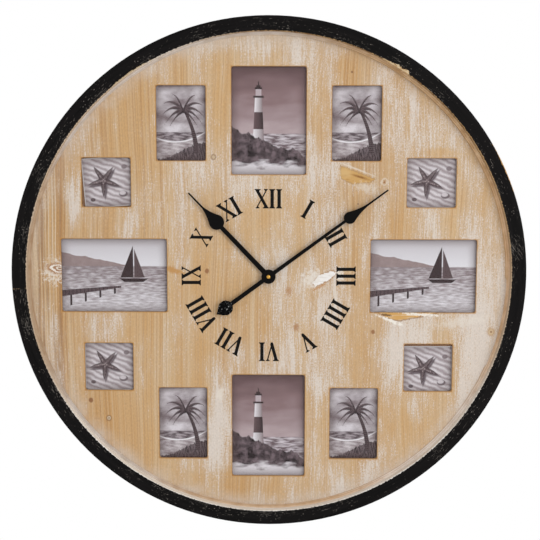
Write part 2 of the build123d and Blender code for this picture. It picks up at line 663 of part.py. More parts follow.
def make_second_wheel():
    """Wheel that turns once a minute."""
    pinion_phase = mating_phase(SECOND_AT, THIRD_WHEEL_TEETH, SECOND_PINION_TEETH, SECOND_AT)
    pinion = toothed_outline(SECOND_PINION_TEETH, THIRD_MODULE, pinion_phase)
    wheel = toothed_outline(SECOND_WHEEL_TEETH, SECOND_MODULE, IDLER_AT)
    return make_pivoted_wheel(SECOND_AXIS, wheel, 4, pinion, 3)


def make_intermediate_wheel():
    """Wheel between the motor's rotor and the second wheel."""
    pinion_phase = mating_phase(IDLER_AT, SECOND_WHEEL_TEETH, IDLER_PINION_TEETH, IDLER_AT)
    pinion = toothed_outline(IDLER_PINION_TEETH, SECOND_MODULE, pinion_phase)
    wheel = toothed_outline(IDLER_WHEEL_TEETH, IDLER_MODULE, ROTOR_AT)
    return make_pivoted_wheel(IDLER_AXIS, wheel, 5, pinion, 4)


def make_rotor():
    """Magnet of the stepping motor, with its pinion."""
    phase = mating_phase(ROTOR_AT, IDLER_WHEEL_TEETH, ROTOR_PINION_TEETH, ROTOR_AT)
    magnet_top = layer(5)[0] - LAYER_GAP
    rotor = disc(ROTOR_RADIUS, magnet_top - ROTOR_HEIGHT, magnet_top, ROTOR_AXIS)
    pinion = toothed_outline(ROTOR_PINION_TEETH, IDLER_MODULE, phase)
    rotor += slab(Pos(*ROTOR_AXIS) * pinion, magnet_top, layer(5)[1])
    return rotor + disc(PIVOT_RADIUS, PIVOT_BACK, PIVOT_FRONT, ROTOR_AXIS)


# Movement case and its electrics

def board_post_places():
    """Where the two posts of the circuit board stand."""
    x, z = BOARD_CENTRE
    return [(x + side * BOARD_POST_SPACING / 2, z) for side in (LEFT, RIGHT)]


def make_movement_case():
    """Front shell of the movement with the threaded bush, the battery bay's wall and the pivot holes."""
    case = slab(RectangleRounded(CASE_SIDE, CASE_SIDE, CASE_CORNER), COVER_FRONT, PANEL_BACK)
    hollow = RectangleRounded(2 * CASE_INNER, 2 * CASE_INNER, CASE_CORNER - CASE_WALL)
    case -= slab(hollow, COVER_FRONT, CASE_INNER_FRONT)
    bay_wall = Pos(0, BAY_TOP + BAY_WALL / 2) * Rectangle(2 * CASE_INNER, BAY_WALL)
    case += slab(bay_wall, COVER_FRONT, CASE_INNER_FRONT)
    for place in board_post_places():
        case += disc(BOARD_POST_RADIUS, BOARD_STAND + BOARD_THICKNESS, CASE_INNER_FRONT, place)
    case += disc(BUSH_RADIUS, PANEL_BACK, BUSH_TIP)
    case -= disc(HOUR_TUBE_RADIUS + RUNNING_CLEARANCE, CASE_INNER_FRONT, BUSH_TIP)
    hole_end = CASE_INNER_FRONT + PIVOT_DEPTH
    for place in PIVOTED_AXES + [SETTING_AXIS]:
        case -= disc(PIVOT_RADIUS + RUNNING_CLEARANCE, CASE_INNER_FRONT, hole_end, place)
    return case


def make_movement_cover():
    """Back plate over the wheels, which leaves the battery bay open."""
    plate = RectangleRounded(CASE_SIDE, CASE_SIDE, CASE_CORNER)
    bay = CASE_SIDE / 2 + BAY_TOP
    plate -= Pos(0, BAY_TOP - bay / 2) * Rectangle(CASE_SIDE, bay)
    plate -= Pos(*SETTING_AXIS) * Circle(SETTING_SHAFT_RADIUS + RUNNING_CLEARANCE)
    cover = slab(plate, CASE_BACK, COVER_FRONT)
    for place in PIVOTED_AXES + [CENTRE_AXIS]:
        cover -= disc(PIVOT_RADIUS + RUNNING_CLEARANCE, COVER_FRONT - PIVOT_DEPTH, COVER_FRONT, place)
    return cover


def make_battery():
    """Single round cell with its raised positive end to the right."""
    start = (BATTERY_START, -BATTERY_STAND, BATTERY_RISE)
    foot = (Align.CENTER, Align.CENTER, Align.MIN)
    cell = Cylinder(BATTERY_RADIUS, BATTERY_LENGTH, align=foot)
    cell = fillet(cell.edges().filter_by(GeomType.CIRCLE), BATTERY_EDGE)
    cell += Pos(0, 0, BATTERY_LENGTH) * Cylinder(BATTERY_NUB_RADIUS, BATTERY_NUB_LENGTH, align=foot)
    return Plane(origin=start, x_dir=(0, 1, 0), z_dir=(1, 0, 0)) * cell


def make_battery_contacts():
    """Spring plates at both ends of the battery bay, each with a pressed button."""
    ends = BATTERY_START, BATTERY_START + BATTERY_LENGTH + BATTERY_NUB_LENGTH
    contacts = []
    for side, end in zip((LEFT, RIGHT), ends):
        outer = side * (CASE_INNER - CONTACT_GAP)
        inner = outer - side * CONTACT_THICKNESS
        plate = Box(CONTACT_THICKNESS, CONTACT_HEIGHT, CONTACT_WIDTH)
        contact = Pos((outer + inner) / 2, -BATTERY_STAND, BATTERY_RISE) * plate
        crest = end + side * CONTACT_GAP
        button = Rot(0, 90, 0) * Cylinder(CONTACT_BUTTON_RADIUS, abs(crest - inner))
        contact += Pos((crest + inner) / 2, -BATTERY_STAND, BATTERY_RISE) * button
        contacts.append(contact)
    return contacts


def make_circuit_board():
    """Small circuit board with its sealed chip and the quartz in its can."""
    x, z = BOARD_CENTRE
    outline = Pos(x, z) * Rectangle(BOARD_WIDTH, BOARD_HEIGHT)
    board = slab(outline, BOARD_STAND, BOARD_STAND + BOARD_THICKNESS)
    chip = disc(CHIP_RADIUS, BOARD_STAND - CHIP_HEIGHT, BOARD_STAND, (x - BOARD_WIDTH / 4, z))
    can_place = Pos(x + BOARD_WIDTH / 4, CRYSTAL_RADIUS - BOARD_STAND, z)
    return [board, chip, can_place * Cylinder(CRYSTAL_RADIUS, CRYSTAL_LENGTH)]


STATOR_MIDDLE = layer(5)[0] - LAYER_GAP - ROTOR_HEIGHT / 2
COIL_DEPTH = 2 * (STATOR_MIDDLE - COVER_FRONT - COIL_SEAT_GAP)
COIL_CENTRE = (ROTOR_AXIS[0] - STATOR_LENGTH / 2, ROTOR_AXIS[1] + STATOR_RISE)


def make_stator():
    """Flat iron loop from one side of the rotor through the coil and back to the other."""
    x, z = ROTOR_AXIS
    height = 2 * STATOR_RISE + STATOR_LEG
    loop = Rectangle(STATOR_LENGTH, height)
    loop -= Rectangle(STATOR_LENGTH - 2 * STATOR_LEG, height - 2 * STATOR_LEG)
    outline = Pos(x - STATOR_LENGTH / 2, z) * loop + Pos(x, z) * Circle(STATOR_PAD_RADIUS)
    outline -= Pos(x, z) * Circle(ROTOR_RADIUS + STATOR_GAP)
    return slab(outline, STATOR_MIDDLE - STATOR_THICKNESS / 2, STATOR_MIDDLE + STATOR_THICKNESS / 2)


def make_motor_coil():
    """Wound bobbin on the upper leg of the stator."""
    x, z = COIL_CENTRE
    winding = Box(COIL_LENGTH, COIL_DEPTH - 2 * COIL_STEP, COIL_HEIGHT - 2 * COIL_STEP)
    coil = fillet(winding.edges().filter_by(Axis.X), COIL_STEP)
    flange = Box(COIL_FLANGE, COIL_DEPTH, COIL_HEIGHT)
    for side in (LEFT, RIGHT):
        coil += Pos(side * (COIL_LENGTH - COIL_FLANGE) / 2, 0, 0) * flange
    coil -= Box(COIL_LENGTH, STATOR_THICKNESS + 2 * COIL_PLAY, STATOR_LEG + 2 * COIL_PLAY)
    return Pos(x, -STATOR_MIDDLE, z) * coil


# All pieces by node name

def make_nodes():
    """Every piece of the clock, under the name of its node."""
    nodes = {
        "lower_rim": [make_rim_half(-SPLICE_TILT)],
        "upper_rim": [make_rim_half(180.0 - SPLICE_TILT)],
        "face_panel": [make_face_panel()],
        "window_panes": [],
        "small_prints": make_small_prints(),
        "hanger_block": [make_hanger_block()],
        "keyhole_plate": [make_keyhole_plate()],
        "hour_hand": [make_hour_hand()],
        "minute_hand": [make_minute_hand()],
        "counterweight": [make_counterweight()],
        "hand_nut": [make_hand_nut()],
        "bush_nut": [make_bush_nut()],
        "movement_case": [make_movement_case()],
        "movement_cover": [make_movement_cover()],
        "battery": [make_battery()],
        "battery_contacts": make_battery_contacts(),
        "circuit_board": make_circuit_board(),
        "motor_coil": [make_motor_coil()],
        "stator": [make_stator()],
        "rotor": [make_rotor()],
        "intermediate_wheel": [make_intermediate_wheel()],
        "second_wheel": [make_second_wheel()],
        "third_wheel": [make_third_wheel()],
        "centre_wheel": [make_centre_wheel()],
        "minute_arbor": [make_minute_arbor()],
        "minute_wheel": [make_minute_wheel()],
        "hour_wheel": [make_hour_wheel()],
        "setting_knob": [make_setting_knob()],
    }
    for kind in WINDOW_SIZES:
        nodes["window_panes"] += make_sheets(kind, PRINT_FRONT, PANE_FRONT)
        nodes[f"{kind}_backs"] = make_sheets(kind, PANEL_BACK, BACK_FRONT)
        if kind != "small":
            nodes[f"{kind}_prints"] = make_sheets(kind, PRINT_FRONT - PRINT_THICKNESS, PRINT_FRONT)
    screws = [make_wood_screw(place, PLATE_BACK) for place in hanger_screw_places()]
    for hour, (kind, x, z) in WINDOWS.items():
        for side, pivot, turn in button_pivots(kind, x, z):
            nodes[f"turn_button_{hour:02d}_{side}"] = [make_turn_button(pivot, turn)]
            screws.append(make_wood_screw(pivot, BUTTON_BACK - BUTTON_PLAY))
    nodes["wood_screws"] = screws
    return nodes


os.makedirs("parts", exist_ok=True)
for name, solids in make_nodes().items():
    shape = solids[0] if len(solids) == 1 else Compound(children=solids)
    export_step(shape, f"parts/{name}.step")
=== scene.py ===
"""Looks of the photo frame clock: finishes, prints, numerals, bead, screws, drop, studio and camera."""
from functools import partial
from math import pi, radians

import bpy
from mathutils import Matrix, Vector


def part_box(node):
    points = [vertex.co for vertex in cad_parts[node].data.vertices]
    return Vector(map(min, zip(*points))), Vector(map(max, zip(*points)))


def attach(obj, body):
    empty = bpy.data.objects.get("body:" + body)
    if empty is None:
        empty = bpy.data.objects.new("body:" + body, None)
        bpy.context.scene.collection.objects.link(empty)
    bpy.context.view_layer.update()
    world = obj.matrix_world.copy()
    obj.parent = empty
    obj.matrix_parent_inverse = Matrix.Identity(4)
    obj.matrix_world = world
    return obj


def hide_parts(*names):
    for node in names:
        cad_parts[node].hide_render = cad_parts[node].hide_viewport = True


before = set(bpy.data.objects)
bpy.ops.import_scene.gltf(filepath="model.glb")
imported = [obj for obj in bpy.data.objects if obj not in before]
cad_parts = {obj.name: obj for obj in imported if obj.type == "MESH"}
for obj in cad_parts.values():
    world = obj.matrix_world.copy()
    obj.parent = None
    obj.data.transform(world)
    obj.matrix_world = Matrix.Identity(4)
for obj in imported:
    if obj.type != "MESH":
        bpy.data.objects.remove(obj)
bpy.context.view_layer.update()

MM = 0.001

# Sizes shared with the solids, in millimetres.
RIM_RADIUS = 400
RIM_INNER_RADIUS = 376
DIAL_STAND = 30
# Degrees by which the splices of the rim are turned from nine and three o'clock.
SPLICE_TILT = 2.8
# Window kind: centre offset across and up, half width and half height. Each repeats by mirror on both axes.
WINDOWS = {
    "upright": (0, 241, 57.5, 82.5),
    "wide": (241.5, 0, 82.5, 57.5),
    "medium": (135.26, 237.14, 38, 57.5),
    "small": (251.76, 145.94, 38, 38),
}

# Short names for nodes that come often: the kind of node and its settings.
SHORT = {sign: ("Math", {"operation": operation}) for sign, operation in {
    "+": "ADD", "-": "SUBTRACT", "*": "MULTIPLY", "/": "DIVIDE", "*+": "MULTIPLY_ADD", "<": "LESS_THAN",
    ">": "GREATER_THAN", "max": "MAXIMUM", "soft max": "SMOOTH_MAX", "min": "MINIMUM", "abs": "ABSOLUTE",
    "sign": "SIGN", "power": "POWER", "angle": "ARCTAN2", "zigzag": "PINGPONG",
}.items()}
SHORT |= {
    "vector +": ("VectorMath", {"operation": "ADD"}),
    "vector *": ("VectorMath", {"operation": "MULTIPLY"}),
    "dot": ("VectorMath", {"operation": "DOT_PRODUCT"}),
    "length": ("VectorMath", {"operation": "LENGTH"}),
    "range": ("MapRange", {}),
    "noise": ("TexNoise", {}),
    "smooth": ("MapRange", {"interpolation_type": "SMOOTHSTEP"}),
    "mix": ("Mix", {"data_type": "RGBA"}),
    "tint": ("Mix", {"data_type": "RGBA", "blend_type": "MULTIPLY"}),
}


# Helpers for materials
def srgb(code):
    """Linear colour from an sRGB hex value."""
    parts = [int(code[i:i + 2], 16) / 255 for i in (1, 3, 5)]
    return tuple(c / 12.92 if c <= 0.04045 else ((c + 0.055) / 1.055) ** 2.4 for c in parts) + (1,)


def feed(socket, value):
    """Sets an input to a value or a hex colour, or links it to a socket or to a node's first live output."""
    if isinstance(value, bpy.types.Node):
        value = next(output for output in value.outputs if output.enabled)
    if isinstance(value, bpy.types.NodeSocket):
        socket.id_data.links.new(value, socket)
    else:
        socket.default_value = srgb(value) if isinstance(value, str) else value


def wire(node, **sources):
    """Feeds inputs of a node by name, with underscores for spaces."""
    for name, value in sources.items():
        feed(node.inputs[name.replace("_", " ")], value)


def add_node(tree, kind, *inputs, **named):
    """Adds one shader node with its settings and links. Inputs go in order of the live sockets, or by name
    with underscores for spaces. Names in small letters are settings."""
    kind, settings = SHORT.get(kind, (kind, {}))
    settings = settings | {name: named.pop(name) for name in list(named) if name.islower()}
    node = tree.nodes.new("ShaderNode" + kind)
    for name, value in settings.items():
        setattr(node, name, value)
    live = [socket for socket in node.inputs if socket.enabled]
    for socket, value in zip(live, inputs):
        feed(socket, value)
    wire(node, **named)
    return node


def finish(name, **values):
    """A new material with plain values on its shader, what adds its nodes, and its place in millimetres."""
    material = bpy.data.materials.new(name)
    material.use_nodes = True
    wire(material.node_tree.nodes["Principled BSDF"], **values)
    add = partial(add_node, material.node_tree)
    mm = add("Mapping", Vector=add("TexCoord").outputs["Object"], Scale=(1000, 1000, 1000))
    return material, add, mm


def complete(material, add, colour, relief=None, strength=0, depth=0, **more):
    """Ends a material: its colour, its relief with a strength and a depth in mm, and more inputs by name."""
    if relief:
        more["Normal"] = add("Bump", Height=relief, Strength=strength, Distance=depth * MM)
    wire(material.node_tree.nodes["Principled BSDF"], Base_Color=colour, **more)
    return material


def mottle(add, pattern, start, full, dark, pale):
    """From one colour to another as a pattern runs from a start to its full value."""
    return add("mix", add("range", pattern, start, full), dark, pale)


def streak(add, place, size, detail, roughness=0.5, shift=(0, 0, 0), turn=0):
    """Noise stretched to a size in mm along each axis, and even along an axis given as None."""
    scale = [1 / length if length else 0 for length in size]
    place = add("Mapping", Vector=place, Location=shift, Rotation=(0, radians(turn), 0), Scale=scale)
    return add("noise", place, 1, detail, roughness)


def oval(add, place, x, z, half_width, half_height, turn=0):
    """Distance from the middle of an oval as a share of its half sizes, the same at any depth."""
    any_depth = 1e6
    place = add("Mapping", Vector=place, Location=(x, 0, z), Rotation=(0, radians(turn), 0),
                Scale=(half_width, any_depth, half_height), vector_type="TEXTURE")
    return add("length", place)


def beyond(add, place, half):
    """How far a place lies beyond a half size, either way."""
    return add("+", add("abs", place), -half)


def where_all(add, *tests):
    """1 where a place passes every test, each a value, a sign and a limit, and 0 elsewhere."""
    passed, *others = [add(sign, value, limit) for value, sign, limit in tests]
    for other in others:
        passed = add("*", passed, other)
    return passed


def darken(add, colour, tone):
    """A colour times a grey tone."""
    return add("tint", 1, colour, add("CombineColor", tone, tone, tone))


# Camera, light and floor
def set_up_studio():
    """White studio: soft key from the right front, a small spark for glints, a fill from below at the left,
    a lamp behind, and a pale floor well below the hung clock."""
    scene = bpy.context.scene
    scene.view_settings.view_transform = "Standard"
    camera = bpy.data.cameras.new("camera")
    camera.lens = 85.856
    camera.sensor_width = 36
    stand = bpy.data.objects.new("camera", camera)
    stand.location = (0.02104, -2.01919, 0.30801)
    stand.rotation_euler = [radians(turn) for turn in (81.4624, -0.1079, 0.5579)]
    scene.collection.objects.link(stand)
    scene.camera = stand
    lamps = [  # name, place and size in metres, power in watts
        ("key", (3.2, -4.2, 1.2), 2.4, 96),
        ("spark", (0.9, -2.4, 1.5), 0.2, 8),
        ("fill", (-0.8, -2.8, -2.2), 2, 16),
        ("rear", (0.6, 2.4, 1.6), 2, 40),
    ]
    for name, place, size, power in lamps:
        lamp = bpy.data.lights.new(name, "AREA")
        lamp.size = size
        lamp.energy = power
        holder = bpy.data.objects.new(name, lamp)
        holder.location = place
        holder.rotation_euler = (-Vector(place)).to_track_quat("-Z", "Y").to_euler()
        scene.collection.objects.link(holder)

    # The background is pure white where it is seen, also mirrored or through a pane, and dimmer as a light.
    world = bpy.data.worlds.new("studio")
    scene.world = world
    world.use_nodes = True
    add = partial(add_node, world.node_tree)
    path = add("LightPath").outputs
    seen = add("+", path["Is Camera Ray"], path["Is Glossy Ray"])
    seen = add("+", seen, path["Is Transmission Ray"], use_clamp=True)
    seen = add("*", seen, add("<", path["Diffuse Depth"], 0.5))
    level = add("range", Value=seen, To_Min=0.60, To_Max=1)
    wire(world.node_tree.nodes["Background"], Color=(1, 1, 1, 1), Strength=level)

    bpy.ops.mesh.primitive_plane_add(size=2.4, location=(0, 0, -0.95))
    floor = bpy.context.object
    floor.name = "floor"
    material, add, mm = finish("painted_floor", Roughness=0.9)
    drift = add("noise", mm, 1 / 400, 2)
    complete(material, add, add("mix", drift, "#eeeeee", "#f4f4f4"))
    floor.data.materials.append(material)


# Finishes of the dial and rim
def limewashed_fir():
    """Sliced fir veneer, limewashed and rubbed back.

    The eye gets straight upright grain lines 2 to 3 mm wide, warm bands where the lime is rubbed off, crumbly
    chalk flecks where it stays in the pores, bare amber edges at windows and chips, and a few small knots.
    """
    material, add, mm = finish("limewashed_fir_veneer", Roughness=0.72, IOR=1.5)
    flat = add("vector *", mm, (1, 0, 1))
    across, _, up = add("SeparateXYZ", flat).outputs
    # The grain wanders sideways by some millimetres over a hand's length.
    sway = add("+", add("noise", flat, 1 / 240, 1), -0.5)
    grain = add("vector +", flat, add("CombineXYZ", add("*", sway, 20)))
    torn = add("+", add("noise", flat, 1 / 5, 3), -0.5)

    # How thick the lime lies, about 0: patches a hand wide, more to the right and a little more to the foot.
    thick = streak(add, grain, (60, None, 190), 4, 0.6, shift=(3, 0, 1.7))
    thick = add("+", thick, add("range", across, -RIM_RADIUS, RIM_RADIUS, -0.55, -0.42))
    thick = add("*+", up, -0.00004, thick)
    # Where more of it stays, and where it is rubbed off: centre across and up, half sizes, how much.
    rubbing = [
        (-302, 215, 16, 27, 0.08), (-260, 204, 7, 19, 0.11), (-94, 343, 36, 19, 0.05),
        (-13, 346, 10, 22, 0.07), (43, 344, 21, 23, 0.08), (68, 285, 8, 39, 0.10),
        (-67, 295, 7, 30, 0.07), (-27, 138, 23, 24, 0.06), (76, 167, 19, 29, 0.05),
        (192, 229, 13, 50, 0.10), (225, 259, 7, 29, 0.09), (261, 220, 33, 34, 0.08),
        (311, 157, 22, 25, 0.07), (-303, 114, 12, 33, 0.13), (-258, 90, 10, 22, 0.06),
        (-267, -82, 23, 22, 0.07), (242, -210, 21, 24, 0.09), (337, -128, 24, 37, 0.07),
        (84, -26, 38, 59, 0.05), (-78, -245, 16, 70, 0.10), (78, -178, 10, 20, 0.10),
        (101, -338, 22, 25, 0.08), (316, -73, 48, 36, 0.07), (-129, 13, 9, 20, 0.07),
        (137, 324, 32, 27, -0.16), (-20, 356, 60, 10, 0.07), (215, -112, 62, 40, 0.08),
        (330, -180, 34, 60, 0.06), (0, -132, 70, 36, 0.06), (217, -242, 8, 62, -0.10),
        (-248, -262, 83, 70, -0.13), (-216, 283, 34, 49, -0.10), (262, 193, 24, 7, -0.12),
        (213, 243, 4, 34, -0.12), (-69, -339, 56, 25, -0.12), (43, -339, 40, 25, -0.08),
        (-167, -119, 58, 80, -0.06),
    ]
    for *place, more in rubbing:
        thick = add("+", thick, add("smooth", oval(add, flat, *place), 0.4, 1.6, more, 0))

    bold = add("range", streak(add, grain, (70, None, 400), 1), 0.35, 0.65, 0.45, 1)
    # The lines are darkest by the rim at the left.
    left = add("smooth", across, -290, -335)
    bold = add("+", bold, left)
    streaks = [  # colour, width and length in mm, where the noise starts and is full, the most it covers
        ("#bd9058", 110, 1900, 0.42, 0.62, 0.60),
        ("#d2bd9f", 34, 1500, 0.46, 0.62, 0.50),
        ("#a97a47", 3, 2600, 0.49, 0.60, 0.50),
        ("#d8c7ac", 2.3, 1500, 0.52, 0.62, 0.42),
        ("#9c7044", 1.6, 900, 0.54, 0.66, 0.34),
    ]
    colour = add("mix", add("range", thick, -0.04, -0.24, 0, 0.6), "#c9a474", "#c5965a")
    layers = []
    for number, (tint, width, length, start, full, most) in enumerate(streaks):
        noise = streak(add, grain, (width, None, length), 3, 0.55, shift=(7.3 * number, 0, 3.1 * number))
        cover = add("*", add("smooth", noise, start, full, 0, most), bold)
        colour = add("mix", cover, colour, tint)
        layers.append(noise)
    stain = streak(add, grain, (7, None, 260), 4, 0.65, shift=(1.4, 0, 0.3))
    stain = add("*", add("smooth", stain, 0.44, 0.62, 0, 0.72), left)
    colour = add("mix", stain, colour, "#8f6843")

    # Lime: a thin veil, then chalk flecks along the pores, 2 to 6 mm wide, that crumble at their edges.
    colour = add("mix", add("smooth", thick, -0.12, 0.16, 0.03, 0.42), colour, "#c9b9a8")
    crumb = add("+", streak(add, flat, (1.2, None, 2.6), 2, 0.7), -0.5)
    ground = add("*+", crumb, 0.9, thick)
    lime = 0
    for number, (width, length, start) in enumerate([(1.7, 26, 0.63), (3, 70, 0.64), (6, 110, 0.66)]):
        fleck = streak(add, grain, (width, None, length), 2, 0.6, shift=(5.1 * number, 0, 2.3))
        fleck = add("smooth", add("+", fleck, ground), start, start + 0.08, 0, 0.78)
        lime = add("max", fleck, lime)
    colour = add("mix", lime, colour, "#dcd3cb")

    # Along the rim the wash is chalky. At the upper right the band is painted brown instead, as the shade
    # that the rim casts there.
    ring = add("smooth", add("length", flat), 346, 372, 0, 0.7)
    blur = add("noise", flat, 1 / 34, 3)
    ring = add("*", ring, add("range", blur, 0.35, 0.65, 0.2, 1))
    ring = add("*", ring, add("range", left, 0, 1, 1, 0.35))
    shaded_upper_right = add("smooth", add("dot", flat, (0.75, 0, 0.66)), 250, 345)
    colour = add("mix", ring, colour, add("mix", shaded_upper_right, "#cfc2b5", "#b5946a"))

    # Fine pores, 1.4 by 4 mm so that they show.
    grit = streak(add, flat, (1.4, None, 4), 2, 0.7)
    colour = darken(add, colour, add("range", grit, 0.3, 0.7, 0.86, 1.10))

    # Bare amber edges round the windows, about 2.5 mm wide and uneven.
    nearest = None
    for centre_x, centre_z, half_width, half_height in WINDOWS.values():
        side = beyond(add, beyond(add, across, centre_x), half_width)
        top = beyond(add, beyond(add, up, centre_z), half_height)
        gap = add("max", side, top)
        nearest = add("min", nearest, gap) if nearest else gap
    edge = add("smooth", add("*+", torn, 5, nearest), 0.6, 2.6, 0.7, 0)
    colour = add("mix", edge, colour, "#bd8c4c")
    colour = add("mix", add("range", nearest, 0, 0.9, 0.75, 0), colour, "#8a5f31")

    broken = add("*+", crumb, 1.1, torn)
    # Chips where the veneer tore off: corners clockwise, width and colour of the torn edge, then two colours
    # of the bare wood.
    chips = [
        ([(111.4, 171.5), (162.6, 151.5), (156, 147), (130, 144.5), (112.6, 153)],
         0.9, "#a98350", "#c89d5d", "#a87436"),
        ([(68, -11), (78, 1), (99, 8.5), (106.5, 5), (95, -6), (74, -16.5)],
         1.3, "#a3784a", "#f1eeeb", "#dcd6d0"),
        ([(173, -57), (264, -57), (250, -61.5), (225, -66), (203, -70), (184, -65.5)],
         1.3, "#8f6436", "#cf9f59", "#eadfcd"),
    ]
    fibre = streak(add, flat, (26, None, 3.2), 3, turn=-20)
    fibre = add("smooth", fibre, 0.50, 0.68, 0, 0.85)
    for corners, width, border, bare, dark in chips:
        out = None
        for (x0, z0), (x1, z1) in zip(corners, corners[1:] + corners[:1]):
            away = Vector((z0 - z1, 0, x1 - x0)).normalized()
            side = add("+", add("dot", flat, tuple(away)), -away.dot(Vector((x0, 0, z0))))
            out = add("max", out, side) if out else side
        out = add("*+", broken, 5, out)
        colour = add("mix", add("range", out, width, width + 1, 0.8, 0), colour, border)
        wood = add("mix", fibre, bare, dark)
        colour = add("mix", add("range", out, -0.6, 0.4, 0.95, 0), colour, wood)

    # Marks: centre across and up, half sizes, turn, softness, raggedness, then rings as share of the size,
    # colour, cover.
    marks = [
        # knots and pin knots
        (-96.2, 7.5, 3.2, 3.8, 0, 0.7, 0.2, [(1, "#8f6039", 0.9)]),
        (164.3, -88.6, 3, 3.4, 0, 0.7, 0.2, [(1, "#8f6039", 0.9)]),
        (-281.7, -200.4, 3.6, 4, 0, 0.7, 0.2, [(1, "#855632", 0.9)]),
        (126.8, 315.3, 1.6, 1.8, 0, 0.6, 0.2, [(1, "#7d5636", 0.8)]),
        (138.4, 113.2, 1.4, 1.6, 0, 0.6, 0.2, [(1, "#7d5636", 0.8)]),
        (32, -23.8, 5, 6.5, 0, 1.4, 0.6, [(1, "#a97848", 0.65)]),
        (43.3, -81.1, 4, 6, 0, 1.2, 0.5, [(1, "#a06c3c", 0.7)]),
        (349.5, -87.9, 6, 7, 0, 0.6, 0.2,
         [(1, "#b38d62", 0.7), (0.6, "#cdb591", 0.9), (0.27, "#8a5f3a", 0.8)]),
        (-85.2, 185.3, 4.2, 4.6, 0, 0.5, 0.2, [(1, "#8f7050", 0.8), (0.58, "#c5ae8f", 0.9)]),
        (-253.5, -229.6, 4.4, 4.8, 0, 0.5, 0.2,
         [(1, "#8a6440", 0.85), (0.6, "#d6c6ac", 0.9), (0.3, "#7d5636", 0.8)]),
        (178.9, 147.4, 5.2, 5.6, 10, 0.5, 0.6,
         [(1, "#ddd2c2", 0.75), (0.66, "#b58a58", 0.8), (0.32, "#8a5526", 0.85)]),
        # eye knot at the left window, in arcs
        (-333, 6, 17, 15, 0, 0.5, 2, [(1, "#e2d9ce", 0.75)]),
        (-331, 10.6, 15, 8.4, 10, 0.35, 0.6, [(1, "#9c6630", 0.9)]),
        (-329, 10.8, 12.4, 6.4, 10, 0.3, 0.5, [(1, "#efe8de", 0.95)]),
        (-328, 10.6, 8.8, 4.4, 14, 0.3, 0.4, [(1, "#93602f", 0.9)]),
        (-327, 10.8, 6, 2.6, 14, 0.4, 0.4, [(1, "#e9dfd0", 0.9), (0.5, "#8a5526", 0.9)]),
        # amber tail of the same knot, right of the window
        (-150, 9, 14, 4.6, 20, 0.9, 0.6, [(1, "#b98543", 0.8)]),
        (-134, 4, 14, 2.6, 18, 1, 0.6, [(1, "#bb8c50", 0.55)]),
        # crumbled lime round the chip right of the hub
        (68, -4, 13, 10, -30, 0.5, 2.4, [(1, "#e4ddd3", 0.7)]),
        (112, 1, 4.5, 11, -6, 0.5, 2, [(1, "#e4ddd3", 0.85)]),
        (104, -34, 2.6, 22, -2, 0.6, 1.6, [(1, "#ddd3c6", 0.7)]),
        (79, -17.5, 12, 1.6, -28, 0.6, 0.9, [(1, "#b77f45", 0.7)]),
        # chalk patches, and a dark split among them
        (-76.7, -189.7, 6, 9, 10, 0.9, 1.2, [(1, "#e0d6c9", 0.75)]),
        (305, -72, 36, 6, -8, 1.2, 1.6, [(1, "#e0d7cb", 0.5)]),
        (190, -69.5, 18, 2.4, 22, 0.5, 1.6, [(1, "#eee8de", 0.9)]),
        (240, -60.6, 25, 2.2, 4, 0.5, 1.4, [(1, "#efe9df", 0.9)]),
        (184, -61.4, 8, 1.8, 6, 0.6, 0.8, [(1, "#5f411f", 0.85)]),
        (150, 138, 14, 6, 10, 0.8, 2.4, [(1, "#ded4c6", 0.5)]),
        (136, 167, 27, 1.4, 21, 0.8, 0.8, [(1, "#e0d5c6", 0.6)]),
        # darker fibres in the amber chip, and its paler end
        (142, 154.8, 15, 2, 17, 0.9, 0.5, [(1, "#96662c", 0.7), (0.5, "#7c4d1d", 0.7)]),
        (118, 161, 9, 7, 10, 1.4, 0.6, [(1, "#d3b27c", 0.6)]),
    ]
    for *place, soft, rough, rings in marks:
        spot = add("*+", broken, rough * 2, oval(add, flat, *place))
        for share, tint, cover in rings:
            limits = [share * (1 - soft / 2), share * (1 + soft / 2)]
            colour = add("mix", add("smooth", spot, *limits, cover, 0), colour, tint)

    # Behind, the board is unwashed.
    facing = add("SeparateXYZ", add("TexCoord").outputs["Normal"]).outputs["Y"]
    rear = add("mix", streak(add, mm, (90, 1, 7), 3), "#a47c50", "#c39c6d")
    colour = add("mix", add("range", facing, -0.5, -0.2), colour, rear)
    # Relief comes from the two layers of dark lines and from the crumbs.
    relief = add("*+", crumb, 0.6, add("+", layers[2], layers[4]))
    return complete(material, add, colour, relief, 0.25, 0.35)


def rim_angle(bearing):
    """Angle on the turned rim, from three o'clock upwards, of a bearing in degrees from twelve."""
    return (radians(90 - bearing - SPLICE_TILT) + pi) % (2 * pi) - pi


